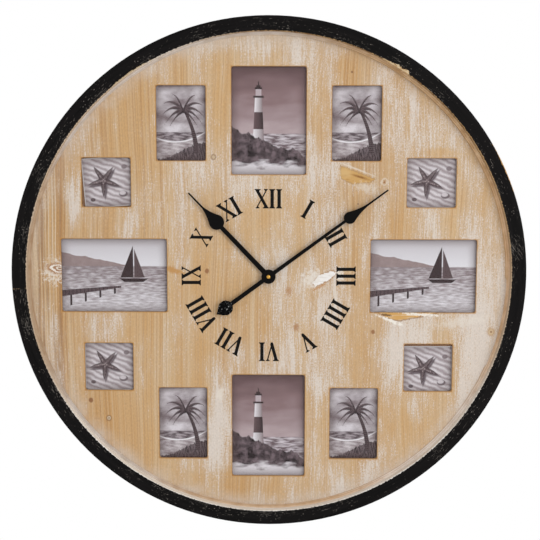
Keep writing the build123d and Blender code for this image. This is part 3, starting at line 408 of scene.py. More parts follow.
def worn_black_rim():
    """Bent softwood hoop under brushed black chalk paint, rubbed through.

    The eye gets a matt near-black with fine pale specks and nicks that run with the hoop, bare jagged edges,
    a limewashed inner wall with brown shade painted at its top, and bare wood where the edge is torn and
    along the splice at the left.
    """
    material, add, mm = finish("worn_chalk_paint_on_pine", IOR=1.5, Specular_IOR_Level=0.06)
    # Turned so that the seam of the angle falls on the splice at the left.
    turned = add("Mapping", Vector=mm, Rotation=(0, radians(SPLICE_TILT), 0))
    across, depth, up = add("SeparateXYZ", turned).outputs
    plan = add("vector *", turned, (1, 0, 1))
    radius = add("length", plan)
    stand = add("*", depth, -1)
    angle = add("angle", up, across)
    # The run along the hoop is measured near the middle of its face. Across it the pattern runs over the face
    # and down the sides alike.
    run_radius = 390
    run = add("CombineXYZ", add("-", radius, stand), stand, add("*", angle, run_radius))

    brushed = streak(add, run, (4, 30, 70), 3)
    colour = mottle(add, brushed, 0.3, 0.7, "#080707", "#161414")

    # How rubbed the paint is: in stretches of a hand's width, and more near the inner edge.
    rubbed = add("noise", run, 1 / 50, 3)
    rubbed = add("range", rubbed, 0.35, 0.7, -0.07, 0.04)
    rubbed = add("+", rubbed, add("range", radius, 378, 398, 0.03, -0.03))
    # Stretches that are rubbed more: bearing from twelve, half angle, how much.
    stretches = [
        (41.5, 4, 0.05), (346, 5, 0.05), (3, 7, 0.05), (82.5, 4, 0.05), (261, 12, 0.05),
        (285, 14, 0.04), (130, 14, 0.05), (200, 25, 0.04), (236, 8, 0.04), (308, 18, 0.05),
    ]
    for bearing, half_angle, more in stretches:
        along = add("abs", add("+", angle, -rim_angle(bearing)))
        rubbed = add("+", rubbed, add("smooth", along, 0, radians(half_angle), more, 0))
    # Scratched across by a rough pad, just above the splice at the right.
    hatched = add("abs", add("+", angle, radians(-4.4)))
    hatched = add("smooth", hatched, radians(2.5), radians(4.5), 0.06, -0.2)
    # Nicks: width and length in mm, turn from the hoop's run, most cover, where.
    nick = 0
    nicks = [(0.8, 6, 0, 0.30, rubbed), (0.8, 22, 4, 0.34, rubbed), (0.7, 20, 26, 0.5, hatched)]
    for number, (width, length, turn, most, stretch) in enumerate(nicks):
        slant = add("Mapping", Vector=run, Rotation=(0, radians(turn), 0))
        dash = streak(add, slant, (width, length, length), 1.5, shift=(9 * number, 0, 4))
        dash = add("smooth", add("+", dash, stretch), 0.69, 0.75, 0, most)
        nick = add("max", dash, nick)
    # Specks where single fibres show, 1 mm so that they show, in cells of 2.4 by 4.4 mm.
    cells = add("Mapping", Vector=run, Scale=(1 / 2.4, 1 / 2.4, 1 / 4.4))
    cell = add("TexVoronoi", Vector=cells, Scale=1).outputs
    chance = add("*+", rubbed, 4, add("SeparateColor", cell["Color"]))
    speck = add("*", add(">", chance, 0.86), add("range", cell["Distance"], 0.08, 0.24, 0.6, 0))
    nick = add("max", speck, nick)
    colour = add("mix", nick, colour, "#b5aca2")

    # Torn edges: bearing, half angle, radius, half width, raggedness, colour, cover.
    ragged = add("noise", run, 1 / 6, 4, 0.65)
    ragged = add("+", ragged, -0.5)
    wear = [
        (65, 7.5, 401.4, 3, 0.8, "#c79c63", 0.95), (326, 5, 376.5, 2.6, 1.3, "#c3ab88", 0.85),
        (60, 14, 376, 1.8, 1.2, "#b08d62", 0.8), (215, 22, 401.2, 1.7, 1.2, "#7a5638", 0.8),
        (160, 16, 401.2, 1.5, 1.2, "#7a5638", 0.8),
    ]
    # On the outer side they stop some 15 mm behind the front.
    deep = add("range", stand, 36, 8, 0, 4)
    for bearing, half_angle, at, half_width, rough, tint, cover in wear:
        along = add("/", add("+", angle, -rim_angle(bearing)), radians(half_angle))
        over = add("/", add("+", radius, -at), half_width)
        spot = add("length", add("CombineXYZ", along, over, deep))
        spot = add("smooth", add("*+", ragged, rough * 2, spot), 0.8, 1.1, cover, 0)
        colour = add("mix", spot, colour, tint)

    # Paint is lost along the splice at the left. On the right half the distance is too great to matter.
    seam = add("*+", add(">", across, 0), 99, add("abs", up))
    seam = add("*+", ragged, 11, seam)
    colour = add("mix", add("range", seam, -0.4, 0.6, 0.75, 0), colour, "#a88c6c")

    # Limewash on the inner wall and over the front edge, jagged where the paint stops: white below, and at
    # the top painted brown as shade, where the wall faces down.
    wash = mottle(add, streak(add, run, (None, 3, 60), 3), 0.35, 0.65, "#ddd2c5", "#f3eee7")
    upper = add("smooth", add("dot", plan, (0.6, 0, 0.8)), 150, 320)
    painted_shade_brown = mottle(add, ragged, -0.15, 0.15, "#765433", "#b3946c")
    wash = add("mix", upper, wash, painted_shade_brown)
    side = add("max", add("abs", across), add("dot", plan, (-0.8, 0, 0.6)))
    wash = add("mix", add("smooth", side, 305, 368, 0, 0.75), wash, "#b3946f")
    jag = add("*+", streak(add, run, (None, None, 4), 4, 0.7), -6.5, radius)
    # Splinters at the upper right: the tear deepens to 5 mm over seven degrees and then stops.
    start, end = rim_angle(26.5), rim_angle(33.8)
    tear = add("*", add("range", angle, start, end), add("range", angle, end, end - 0.008, 1, 0))
    sliver = streak(add, run, (2, None, 9), 3)
    jag = add("-", jag, add("*", tear, add("*+", sliver, 16, -4)))
    fresh = mottle(add, sliver, 0.4, 0.62, "#b98f5c", "#dcc8a6")
    wash = add("mix", add("range", tear, 0.05, 0.3, 0, 0.85), wash, fresh)
    edge = add("range", jag, RIM_INNER_RADIUS - 2.4, RIM_INNER_RADIUS - 1.8, 1, 0)
    is_wall = add("range", radius, RIM_INNER_RADIUS + 0.1, RIM_INNER_RADIUS + 0.3, 1, 0)
    colour = add("mix", add("max", edge, is_wall), colour, wash)

    # Raw softwood behind the dial and on the wall face.
    raw = add("mix", streak(add, run, (4, 4, 120), 3), "#9c7a50", "#cfae80")
    spill = add("noise", run, 1 / 12, 3)
    spill = add("+", radius, add("*", spill, 8))
    inside = add("range", spill, RIM_RADIUS, RIM_RADIUS + 1, 1, 0)
    behind = add("*", add("range", stand, 0.6, 1.4, 1, 0), inside)
    rebate_radius, dial_back = 384.2, 21.5
    bay = add("*", add("range", radius, rebate_radius, rebate_radius + 0.4, 1, 0),
              add("range", stand, dial_back, dial_back + 0.5, 1, 0))
    colour = add("mix", add("max", behind, bay), colour, raw)

    gloss = add("range", brushed, 0.3, 0.7, 0.55, 0.75)
    return complete(material, add, colour, add("-", brushed, nick), 0.35, 0.5, Roughness=gloss)


def limewashed_bead():
    """Thin pine bead glued round the dial, limewashed by brush along its length: the eye gets fine lines
    along it, brown where the wash is rubbed off, brown shade painted at the upper right, and painted light
    that brightens it towards the right."""
    material, add, mm = finish("limewashed_pine_bead", Roughness=0.75, IOR=1.5)
    across, depth, up = add("SeparateXYZ", mm).outputs
    plan = add("vector *", mm, (1, 0, 1))
    # Fine lines along the bead, 1.6 mm apart, and smears a finger long.
    smear = add("noise", plan, 1 / 22, 3)
    lines = add("CombineXYZ", add("length", plan), depth)
    lines = add("vector +", lines, add("vector *", smear, (2, 2, 2)))
    lines = add("noise", lines, 1 / 1.6, 1)
    wash = add("range", add("*+", smear, 0.6, lines), 0.6, 1)
    pale = add("mix", wash, "#b9a898", "#dfd6cf")
    # At the upper right the bead is painted brown as shade.
    painted_shade_warm = add("mix", wash, "#a27d53", "#dcbf9b")
    upper = add("smooth", add("dot", plan, (0.75, 0, 0.66)), 250, 345)
    colour = add("mix", upper, pale, painted_shade_warm)
    tan = add("mix", wash, "#a67f55", "#d2b696")
    side = add("max", add("abs", across), add("*", up, -1))
    colour = add("mix", add("smooth", side, 300, 365, 0, 0.85), colour, tan)
    joint = add("range", depth, -DIAL_STAND - 0.5, -DIAL_STAND - 0.1, 0, 0.7)
    colour = add("mix", joint, colour, "#8a6a48")
    # Painted light: the bead is made up to six tenths brighter at the right than at the left, against the
    # shade that the rim casts on it from the lamp at the right.
    colour = darken(add, colour, add("range", across, -372, 372, 0.85, 1.38))
    return complete(material, add, colour, lines, 0.3, 0.3)


def clear_pane():
    """Clear acrylic sheet, cast: colourless, smooth, with the faint waviness of a polished sheet."""
    material, add, mm = finish("cast_acrylic_pane", Roughness=0.02, IOR=1.25, Transmission_Weight=1)
    wave = add("noise", mm, 1 / 45, 1)
    tint = add("range", wave, 0.3, 0.7, 0.985, 1)
    complete(material, add, add("CombineColor", tint, tint, tint), wave, 0.05, 0.3)
    # Light for the print behind comes straight through.
    nodes = material.node_tree.nodes
    path = add("LightPath").outputs
    through = add("BsdfTransparent")
    mix = add("MixShader", path["Is Diffuse Ray"], nodes["Principled BSDF"], through)
    mix = add("MixShader", path["Is Shadow Ray"], mix, through)
    wire(nodes["Material Output"], Surface=mix)
    return material


# Prints
def sepia_print(subject, kind):
    """Sepia photograph on satin paper: material, what adds its nodes, the side and level of each print on the
    dial, and the place on it from its own centre, across and up in millimetres."""
    material, add, mm = finish("sepia_print_" + subject, IOR=1.5)
    centre_x, centre_z = WINDOWS[kind][:2]
    x, _, z = add("SeparateXYZ", mm).outputs
    side, level = add("sign", x), add("sign", z)
    across = add("*+", side, -centre_x, x)
    up = add("*+", level, -centre_z, z)
    return material, add, (side, level), across, up


def develop(material, add, kind, colour, across, up):
    """Ends a print: its picture darkens to the edges, with film grain 1.3 mm wide so that it shows, and satin
    gloss."""
    half_width, half_height = WINDOWS[kind][2:]
    inset = add("soft max", beyond(add, across, half_width), beyond(add, up, half_height), 12)
    colour = add("mix", add("smooth", inset, -16, 1, 0, 0.45), colour, "#5a4443")
    film = add("noise", add("CombineXYZ", across, 0, up), 1 / 1.3, 1)
    colour = darken(add, colour, add("range", film, 0.3, 0.7, 0.92, 1.06))
    gloss = add("range", film, 0.3, 0.7, 0.34, 0.42)
    return complete(material, add, colour, Roughness=gloss)


def skyline(add, across, width, detail, rise, level):
    """Height of an uneven outline: bumps of a width and rise in mm above and below a level."""
    bumps = add("noise", add("CombineXYZ", across), 1 / width, detail)
    return add("*+", add("+", bumps, -0.5), rise, level)


def lighthouse_print():
    """Lighthouse on a rocky point under a dark evening sky."""
    material, add, _, across, up = sepia_print("lighthouse", "upright")
    here = add("CombineXYZ", across, 0, up)
    cloud = add("+", streak(add, here, (60, 1, 18), 4), -0.5)
    colour = add("ValToRGB", add("*+", cloud, 0.9, add("range", up, 82, -20)))
    sky = colour.color_ramp.elements
    sky[0].color, sky[1].color = srgb("#6c5254"), srgb("#b3a0a3")
    sky.new(0.45).color = srgb("#8b7173")
    # Sea with glints drawn 3 mm high so that they show.
    sea = mottle(add, streak(add, here, (16, 1, 3), 3), 0.38, 0.62, "#6d5b60", "#cbc3c9")
    colour = add("mix", add("range", up, -21, -19, 1, 0), colour, sea)
    # Tower, wider at its foot, lit from the left.
    tower_foot, tower_top = -40, 36
    centre = add("+", across, 16)
    half = add("range", up, tower_foot, tower_top, 9, 5.4, clamp=False)
    off = add("abs", centre)
    tower = where_all(add, (off, "<", half), (up, "<", tower_top))
    shade = add("range", add("/", centre, half), -1, 1)
    white = add("mix", shade, "#e2dee2", "#8a7a7d")
    dark = add("mix", shade, "#6b5558", "#3a2a2c")
    bands = add("<", add("zigzag", up, 40), 13)
    colour = add("mix", tower, colour, add("mix", bands, white, dark))
    # Gallery, lantern and cap: half width, lowest, highest, colour.
    lantern = [
        (8, 35, 38, "#3f2f31"), (4.4, 38, 48, "#b9abb0"), (5.6, 48, 51, "#3a2a2c"),
        (3.2, 51, 54, "#3a2a2c"), (0.7, 54, 60, "#3a2a2c"),
    ]
    for half_width, low, high, tint in lantern:
        part = where_all(add, (off, "<", half_width), (up, ">", low), (up, "<", high))
        colour = add("mix", part, colour, tint)
    # Rocks with foam at their foot.
    slope = add("range", across, -57, 57, -10, -56)
    height = add("-", up, skyline(add, across, 26, 4, 46, slope))
    stone = add("noise", here, 1 / 11, 5, 0.65)
    stone = mottle(add, stone, 0.38, 0.62, "#2a1d20", "#75646a")
    colour = add("mix", add("range", height, -0.8, 0.8, 1, 0), colour, stone)
    surf = add("+", streak(add, here, (22, 1, 9), 4), -0.5)
    surf = add("range", add("*+", surf, 40, up), -62, -70, 0, 0.95)
    colour = add("mix", surf, colour, "#dcd7dc")
    return develop(material, add, "upright", colour, across, up)


def bay_print():
    """Quiet bay with a low headland, one sailing boat and a jetty."""
    material, add, _, across, up = sepia_print("bay", "wide")
    here = add("CombineXYZ", across, 0, up)
    colour = mottle(add, up, 18, 57, "#dddbe0", "#c4bfc4")
    # Headland from the left, falling away to the right.
    fall = add("range", across, -82, 40, 36, 12)
    hill = add("<", up, skyline(add, across, 38, 3, 16, fall))
    woods = add("noise", here, 1 / 9, 3)
    colour = add("mix", hill, colour, add("mix", woods, "#84706f", "#a99796"))
    # Sea, dark at the far shore and bright near by, with glints drawn 2.5 mm high so that they show.
    glint = add("+", streak(add, here, (13, 1, 2.5), 3), -0.5)
    glint = add("range", add("*+", glint, 2.2, add("range", up, 14, -57, 0.1, 0.75)))
    sea = add("mix", glint, "#8d7f82", "#e2dfe4")
    colour = add("mix", add("range", up, 13.4, 14.4, 1, 0), colour, sea)
    # Boat: mainsail, foresail and hull as half planes.
    boat_x, boat_z = add("+", across, -30), add("+", up, 6)
    sails = [(-0.8, -1, 0.40, 21, 2, "#3f2e30"), (1, 1, 0.36, 17, 2, "#5d4b4d")]
    for start, way, lean, size, foot, tint in sails:
        out = add("*", add("+", boat_x, -start), way)
        slack = add("*+", boat_z, -lean, size)
        sail = where_all(add, (out, "<", slack), (out, ">", 0), (boat_z, ">", foot))
        colour = add("mix", sail, colour, tint)
    half_hull = add("*+", boat_z, 1.4, 22)
    hull = where_all(add, (add("abs", boat_x), "<", half_hull), (boat_z, "<", 0.6), (boat_z, ">", -5))
    colour = add("mix", hull, colour, "#3a2a2c")
    # Jetty from the lower left: deck between two lines and posts every 23 mm.
    jetty_end = 10
    deck_top, deck_low, foot = (add("range", across, -82, jetty_end, near, far, clamp=False)
                                for near, far in [(-24, -17), (-34, -20), (-52, -27)])
    planks = where_all(add, (up, "<", deck_top), (up, ">", deck_low), (across, "<", jetty_end))
    seams = add("<", add("zigzag", across, 3), 0.5)
    colour = add("mix", planks, colour, add("mix", seams, "#5d4c50", "#35272a"))
    post = where_all(add, (add("zigzag", across, 11.5), "<", 1.5), (up, "<", deck_low), (up, ">", foot),
                     (across, "<", jetty_end))
    colour = add("mix", post, colour, "#3a2a2c")
    return develop(material, add, "wide", colour, across, up)


def palm_print():
    """Palm that leans over a beach, with clouds behind."""
    material, add, _, across, up = sepia_print("palm", "medium")
    here = add("CombineXYZ", across, 0, up)
    colour = mottle(add, streak(add, here, (40, 1, 22), 5), 0.36, 0.64, "#7d6e72", "#d6d0d5")
    sea = mottle(add, streak(add, here, (12, 1, 2.5), 3), 0.4, 0.6, "#5a4c51", "#a79da2")
    colour = add("mix", add("range", up, -14.5, -13.5, 1, 0), colour, sea)
    # Beach with a curved waterline.
    line = add("+", across, 9)
    beach = add("-", up, add("*+", add("*", line, line), 0.007, -29))
    sand = mottle(add, streak(add, here, (14, 1, 4), 3), 0.35, 0.65, "#8b7d80", "#cbc3c6")
    colour = add("mix", add("range", beach, -0.5, 0.5, 1, 0), colour, sand)
    foam = add("range", add("abs", beach), 0.6, 1.6, 0.9, 0)
    colour = add("mix", foam, colour, "#ebe8ec")
    # Grassy bank in front, higher to the right.
    bank = add("smooth", across, -38, 38, -56, -30)
    bank = add("-", up, skyline(add, across, 3, 3, 13, bank))
    grass = mottle(add, streak(add, here, (2, 1, 9), 3), 0.4, 0.62, "#33262a", "#77686c")
    colour = add("mix", add("range", bank, -0.6, 0.6, 1, 0), colour, grass)
    # Trunk: a bow from the lower right to the crown.
    trunk_length = 68
    rise = add("+", up, 46)
    bow = add("*+", add("*", rise, rise), -0.0042, 23)
    off = add("abs", add("-", across, bow))
    girth = add("range", rise, 0, trunk_length, 4, 1.9)
    trunk = where_all(add, (off, "<", girth), (rise, "<", trunk_length), (rise, ">", 0))
    rings = add("<", add("zigzag", up, 1.6), 0.6)
    colour = add("mix", trunk, colour, add("mix", rings, "#5b4a4d", "#3a2b2e"))
    # Crown: fronds that arch out from the trunk's head and hang, each with a comb of leaflets. A frond is a
    # bow whose height is out times (climb - sag times out). Way, climb, sag, length.
    crown_x, crown_z = add("+", across, -3.4), add("+", up, -22)
    fronds = [
        (1, 1.05, 0.030, 30), (1, 0.55, 0.030, 32), (1, 0.05, 0.030, 29), (1, -0.6, 0.030, 22),
        (-1, 1.15, 0.030, 30), (-1, 0.6, 0.028, 33), (-1, 0, 0.030, 29), (-1, -0.7, 0.030, 21),
        (1, 2.2, 0.060, 19), (-1, 2.6, 0.080, 16),
    ]
    comb = add("*", add("zigzag", crown_x, 1.1), 1.6)
    for way, climb, sag, length in fronds:
        out = add("*", crown_x, way)
        bow = add("*", add("*+", out, -sag, climb), out)
        hang = add("-", bow, crown_z)
        blade = add("-", add("range", out, 0, length, 7.6, 0.6), comb)
        leaf = where_all(add, (hang, "<", blade), (hang, ">", -0.7), (out, ">", 0), (out, "<", length))
        green = mottle(add, hang, -0.7, 4, "#6a595d", "#35272b")
        colour = add("mix", leaf, colour, green)
    return develop(material, add, "medium", colour, across, up)


def starfish_print():
    """Starfish and pebbles on rippled sand, on a print with a narrow white border."""
    material, add, (side, level), across, up = sepia_print("starfish", "small")
    # The print at ten is askew and shifted, and the one at four has dropped.
    left, upper = add("<", side, 0), add(">", level, 0)
    at_ten = add("*", left, upper)
    at_four = add("*", add("-", 1, left), add("-", 1, upper))
    across = add("*+", at_ten, -2.4, across)
    up = add("*+", at_four, 5, up)
    here = add("VectorRotate", Vector=add("CombineXYZ", across, 0, up), Axis=(0, 1, 0),
               Angle=add("*", at_ten, radians(4.5)), rotation_type="AXIS_ANGLE")
    across, _, up = add("SeparateXYZ", here).outputs
    # Sand ripples about 9 mm apart.
    slant = add("Mapping", Vector=here, Rotation=(0, radians(-24), 0))
    wave = add("TexWave", Vector=slant, Scale=1 / 26, Distortion=3.5, Detail=2, Detail_Scale=1.5,
               bands_direction="Z")
    grit = add("noise", here, 1 / 2.2, 2)
    colour = mottle(add, add("*+", grit, 0.5, wave), 0.1, 1.4, "#9a8c8f", "#dcd6da")
    half_arm = pi / 5
    # Soft shadow of the starfish, then the starfish: offset across and up, arm length, colour, half its edge.
    stars = [(2.5, -3, 27, "#5f5056", 3), (0, 0, 26, "#4c3a3e", 0.6)]
    for shift_x, shift_z, size, tint, edge in stars:
        star_x, star_z = add("+", across, 7 - shift_x), add("+", up, -3 - shift_z)
        spread = add("length", add("CombineXYZ", star_x, 0, star_z))
        arm = add("+", add("angle", star_z, star_x), 0.4)
        arm = add("zigzag", arm, half_arm)
        reach = add("power", add("range", arm, 0, half_arm, 1, 0), 2.4)
        star = add("-", spread, add("range", reach, 0, 1, size * 0.3, size))
        colour = add("mix", add("range", star, -edge, edge, 0.9, 0), colour, tint)
    # Warty ridge along each arm.
    ridge = add("range", add("*", arm, spread), 0.5, 2.2, 0.8, 0)
    ridge = add("*", ridge, add("range", star, -2, -5))
    warts = add("TexVoronoi", Vector=here, Scale=1 / 3)
    ridge = add("*", ridge, add("range", warts, 0.2, 0.5, 1, 0.2))
    colour = add("mix", ridge, colour, "#b5a5a6")
    pebbles = [(22, -20, 7, 5, "#6b5c60"), (21, -18.5, 5.2, 3.2, "#cfc7cb"),
               (27, 22, 4.6, 3.6, "#84767a"), (-26, -26, 4, 3, "#5f5054")]
    for *place, tint in pebbles:
        colour = add("mix", add("range", oval(add, here, *place), 0.85, 1.1, 0.95, 0), colour, tint)
    # White border, and beyond the print's edge the bare backing, painted darker than the hardboard as shade.
    wide = add("max", add("abs", across), add("abs", up))
    for start, tint in [(37.4, "#efedef"), (38.8, "#4f3620")]:
        colour = add("mix", add(">", wide, start), colour, tint)
    return develop(material, add, "small", colour, across, up)


# Finishes of hands, fittings and movement
def coat(material, add, pattern, colour, roughness, spread, strength, depth):
    """Ends a material with a pattern that varies its roughness either way and stands out by a depth in mm."""
    gloss = add("range", pattern, 0.3, 0.7, roughness - spread, roughness + spread)
    return complete(material, add, colour, pattern, strength, depth, Roughness=gloss)


def sprayed_paint(name, dark, pale, roughness, grain, shine):
    """Sprayed or screened black paint: even, with fine orange peel of the given width in mm."""
    material, add, mm = finish(name, IOR=1.5, Specular_IOR_Level=shine)
    peel = add("noise", mm, 1 / grain, 2)
    return coat(material, add, peel, add("mix", peel, dark, pale), roughness, 0.06, 0.12, 0.1)


def moulded_plastic(name, dark, pale, roughness, grain):
    """Moulded plastic with a spark-eroded mould grain of the given width in mm: soft, even sheen."""
    material, add, mm = finish(name, IOR=1.53)
    pit = add("noise", mm, 1 / grain, 2)
    return coat(material, add, pit, add("mix", pit, dark, pale), roughness, 0.06, 0.2, 0.1)


def bare_metal(name, dark, pale, roughness, grain, length):
    """Bare or plated metal: brushed streaks of the given width and length in mm, uneven shine."""
    material, add, mm = finish(name, Metallic=1)
    brushed = streak(add, mm, (length, grain, grain), 3)
    colour = mottle(add, brushed, 0.3, 0.7, dark, pale)
    return coat(material, add, brushed, colour, roughness, 0.08, 0.1, 0.05)


def black_casting_with_painted_glints():
    """Cast metal under gloss black, with small pale spots painted on as glints: painted highlights on deep
    black.
    """
    material, add, mm = finish("gloss_black_casting_with_painted_glints", Roughness=0.10, IOR=1.5,
                               Specular_IOR_Level=0.045)
    # Painted highlights: pale spots scattered by noise stand for glints of the lamps on the dents.
    painted_glint = add("noise", mm, 1 / 3.2, 2, 0.6)
    painted_glint = add("smooth", painted_glint, 0.62, 0.67, 0, 0.8)
    return complete(material, add, add("mix", painted_glint, "#020202", "#a9a9a8"))


def hardboard():
    """Pressed hardboard: brown felted fibres, smooth side out."""
    material, add, mm = finish("pressed_hardboard", Roughness=0.78, IOR=1.5)
    felt = add("noise", mm, 1 / 2.4, 4, 0.7, Distortion=1.5)
    cloudy = add("noise", mm, 1 / 60, 2)
    felt = add("*+", cloudy, 0.5, felt)
    return complete(material, add, mottle(add, felt, 0.5, 1, "#6d4a2e", "#94683f"), felt, 0.25, 0.15)


def raw_pine():
    """Planed pine block: straight grain along its length, 4 mm apart, and pale sapwood between."""
    material, add, mm = finish("planed_pine", Roughness=0.68, IOR=1.5)
    ring = streak(add, mm, (120, 5, 4), 3)
    return complete(material, add, mottle(add, ring, 0.35, 0.65, "#b98b54", "#ddbd8c"), ring, 0.2, 0.2)


def wrapped_cell():
    """Steel cell in a foil sleeve: dark sleeve, a plain coloured band at the positive end, bare ends."""
    material, add, mm = finish("foil_wrapped_cell", Metallic=0.6, Roughness=0.3)
    band_width, bare_nub, bare_foot = 16, 1.9, 0.7
    along = add("SeparateXYZ", mm).outputs["X"]
    low, high = (corner.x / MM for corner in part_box("battery"))
    scuff = add("noise", mm, 1 / 6, 3)
    sleeve = add("mix", scuff, "#2b2d31", "#3a3d42")
    band = add("range", along, high - band_width, high - band_width + 0.4)
    colour = add("mix", band, sleeve, "#b0792f")
    bare = add("max", add(">", along, high - bare_nub), add("<", along, low + bare_foot))
    return complete(material, add, add("mix", bare, colour, "#b9b9b6"))


def circuit_laminate():
    """Glass-fibre circuit board under green solder mask, with a faint weave."""
    material, add, mm = finish("solder_masked_laminate", Roughness=0.4, IOR=1.5)
    weave = add("TexWave", Vector=mm, Scale=1.2, Distortion=0.5)
    return complete(material, add, add("mix", weave, "#123d22", "#1c5230"))


def copper_winding():
    """Enamelled copper wire wound in close turns, 0.5 mm apart so that they show."""
    material, add, mm = finish("enamelled_copper_winding", Metallic=1, Roughness=0.32)
    spacing = 0.5
    turns = add("TexWave", Vector=mm, Scale=2 * pi / 20 / spacing, Distortion=0.2, bands_direction="X")
    return complete(material, add, add("mix", turns, "#7d3a1c", "#c9743f"), turns, 0.5, 0.2)


# Helpers for new pieces
def start_piece(name):
    """Names the new primitive, applies its place and size to its mesh, and opens it for editing."""
    piece = bpy.context.object
    piece.name = name
    piece.data.name = name
    bpy.ops.object.transform_apply(location=True, rotation=True, scale=True)
    bpy.ops.object.mode_set(mode="EDIT")
    return piece


def choose(piece, kind, test):
    """In edit mode, selects just the faces or vertices whose middle and normal pass a test."""
    bpy.ops.mesh.select_all(action="DESELECT")
    bpy.ops.mesh.select_mode(type=kind)
    bpy.ops.object.mode_set(mode="OBJECT")
    if kind == "FACE":
        for face in piece.data.polygons:
            face.select = test(face.center, face.normal)
    else:
        for vertex in piece.data.vertices:
            vertex.select = test(vertex.co, vertex.normal)
    bpy.ops.object.mode_set(mode="EDIT")


def extrude(rise):
    """Extrudes the chosen faces upwards, or downwards by a rise below 0."""
    bpy.ops.mesh.extrude_region_move(TRANSFORM_OT_translate={"value": (0, 0, rise)})


def pick(*pieces):
    """Selects just these pieces and makes the first one active."""
    bpy.ops.object.select_all(action="DESELECT")
    for piece in pieces:
        piece.select_set(True)
    bpy.context.view_layer.objects.active = pieces[0]


def combine(piece, other, operation):
    """Unites a piece with another or cuts the other out of it, and removes the other."""
    modifier = piece.modifiers.new("combine", "BOOLEAN")
    modifier.operation = operation
    modifier.object = other
    pick(piece)
    bpy.ops.object.modifier_apply(modifier=modifier.name)
    bpy.data.objects.remove(other)


def roughen(piece, texture, size, mid_level, strength):
    """Moves the surface of the active piece in and out by a texture with marks of the given size."""
    texture.noise_scale = size
    modifier = piece.modifiers.new("roughen", "DISPLACE")
    modifier.texture = texture
    modifier.texture_coords = "LOCAL"
    modifier.mid_level = mid_level
    modifier.strength = strength
    bpy.ops.object.modifier_apply(modifier=modifier.name)


def copy_to(piece, place):
    """A copy of a piece with its own mesh, moved by a matrix."""
    copy = piece.copy()
    copy.data = piece.data.copy()
    copy.data.transform(place)
    bpy.context.scene.collection.objects.link(copy)
    return copy


def join(name, pieces):
    """Joins pieces into one named object at the origin."""
    pick(*pieces)
    bpy.ops.object.join()
    whole = bpy.context.view_layer.objects.active
    whole.name = name
    whole.data.name = name
    return whole


# New pieces
def stroke(name, width, foot, top, serif_foot, serif_top, height, ink):
    """One pen stroke of a numeral: a slab whose ends flare into serifs, leaning from its foot to its top."""
    serif = 3.4 * MM
    first_flare = 0.3
    bpy.ops.mesh.primitive_cube_add(size=1, scale=(width, ink, height - 2 * serif))
    piece = start_piece(name)
    for way, flare in ((1, serif_top), (-1, serif_foot)):
        choose(piece, "FACE", lambda middle, normal: normal.z * way > 0.9)
        slight = 1 + (flare - 1) * first_flare
        extrude(way * serif * 0.4)
        bpy.ops.transform.resize(value=(slight, 1, 1))
        extrude(way * serif * 0.25)
        bpy.ops.transform.resize(value=(flare / slight, 1, 1))
        extrude(way * serif * 0.35)
    # Lean: the upper and lower ends move sideways as a whole, so serifs stay level.
    choose(piece, "VERT", lambda middle, normal: middle.z > 0)
    bpy.ops.transform.translate(value=(top, 0, 0))
    choose(piece, "VERT", lambda middle, normal: middle.z < 0)
    bpy.ops.transform.translate(value=(foot, 0, 0))
    bpy.ops.object.mode_set(mode="OBJECT")
    return piece


def model_numerals():
    """Ring of serif Roman numerals printed on the dial, each standing with its foot to the hub."""
    height, ink, ring = 30 * MM, 0.16 * MM, 121 * MM
    thick, thin, reach = 5.2 * MM, 2 * MM, 6.4 * MM
    # The thin strokes are a little lower, so that no two faces of a crossing lie in one plane.
    thin_ink = ink * 0.96
    letters = {
        "I": stroke("letter_i", thick, 0, 0, 1.75, 1.75, height, ink),
        "V": stroke("letter_v", thick, 0, -reach, 0.7, 1.8, height, ink),
        "X": stroke("letter_x", thick, reach, -reach, 1.8, 1.8, height, ink),
    }
    combine(letters["V"], stroke("thin_v", thin, 0, reach, 1.2, 3, height, thin_ink), "UNION")
    combine(letters["X"], stroke("thin_x", thin, -reach, reach, 3, 3, height, thin_ink), "UNION")
    advance = {"I": 10.8 * MM, "V": 20.5 * MM, "X": 21.5 * MM}
    words = ["XII", "I", "II", "III", "IIII", "V", "VI", "VII", "VIII", "IX", "X", "XI"]
    copies = []
    for hour, word in enumerate(words):
        turn = Matrix.Rotation(radians(30 * hour), 4, "Y")
        pen = -sum(advance[letter] for letter in word) / 2
        for letter in word:
            middle = Vector((pen + advance[letter] / 2, -DIAL_STAND * MM - ink / 2, ring))
            copies.append(copy_to(letters[letter], turn @ Matrix.Translation(middle)))
            pen += advance[letter]
    for letter in letters.values():
        bpy.data.objects.remove(letter)
    return join("numerals", copies)


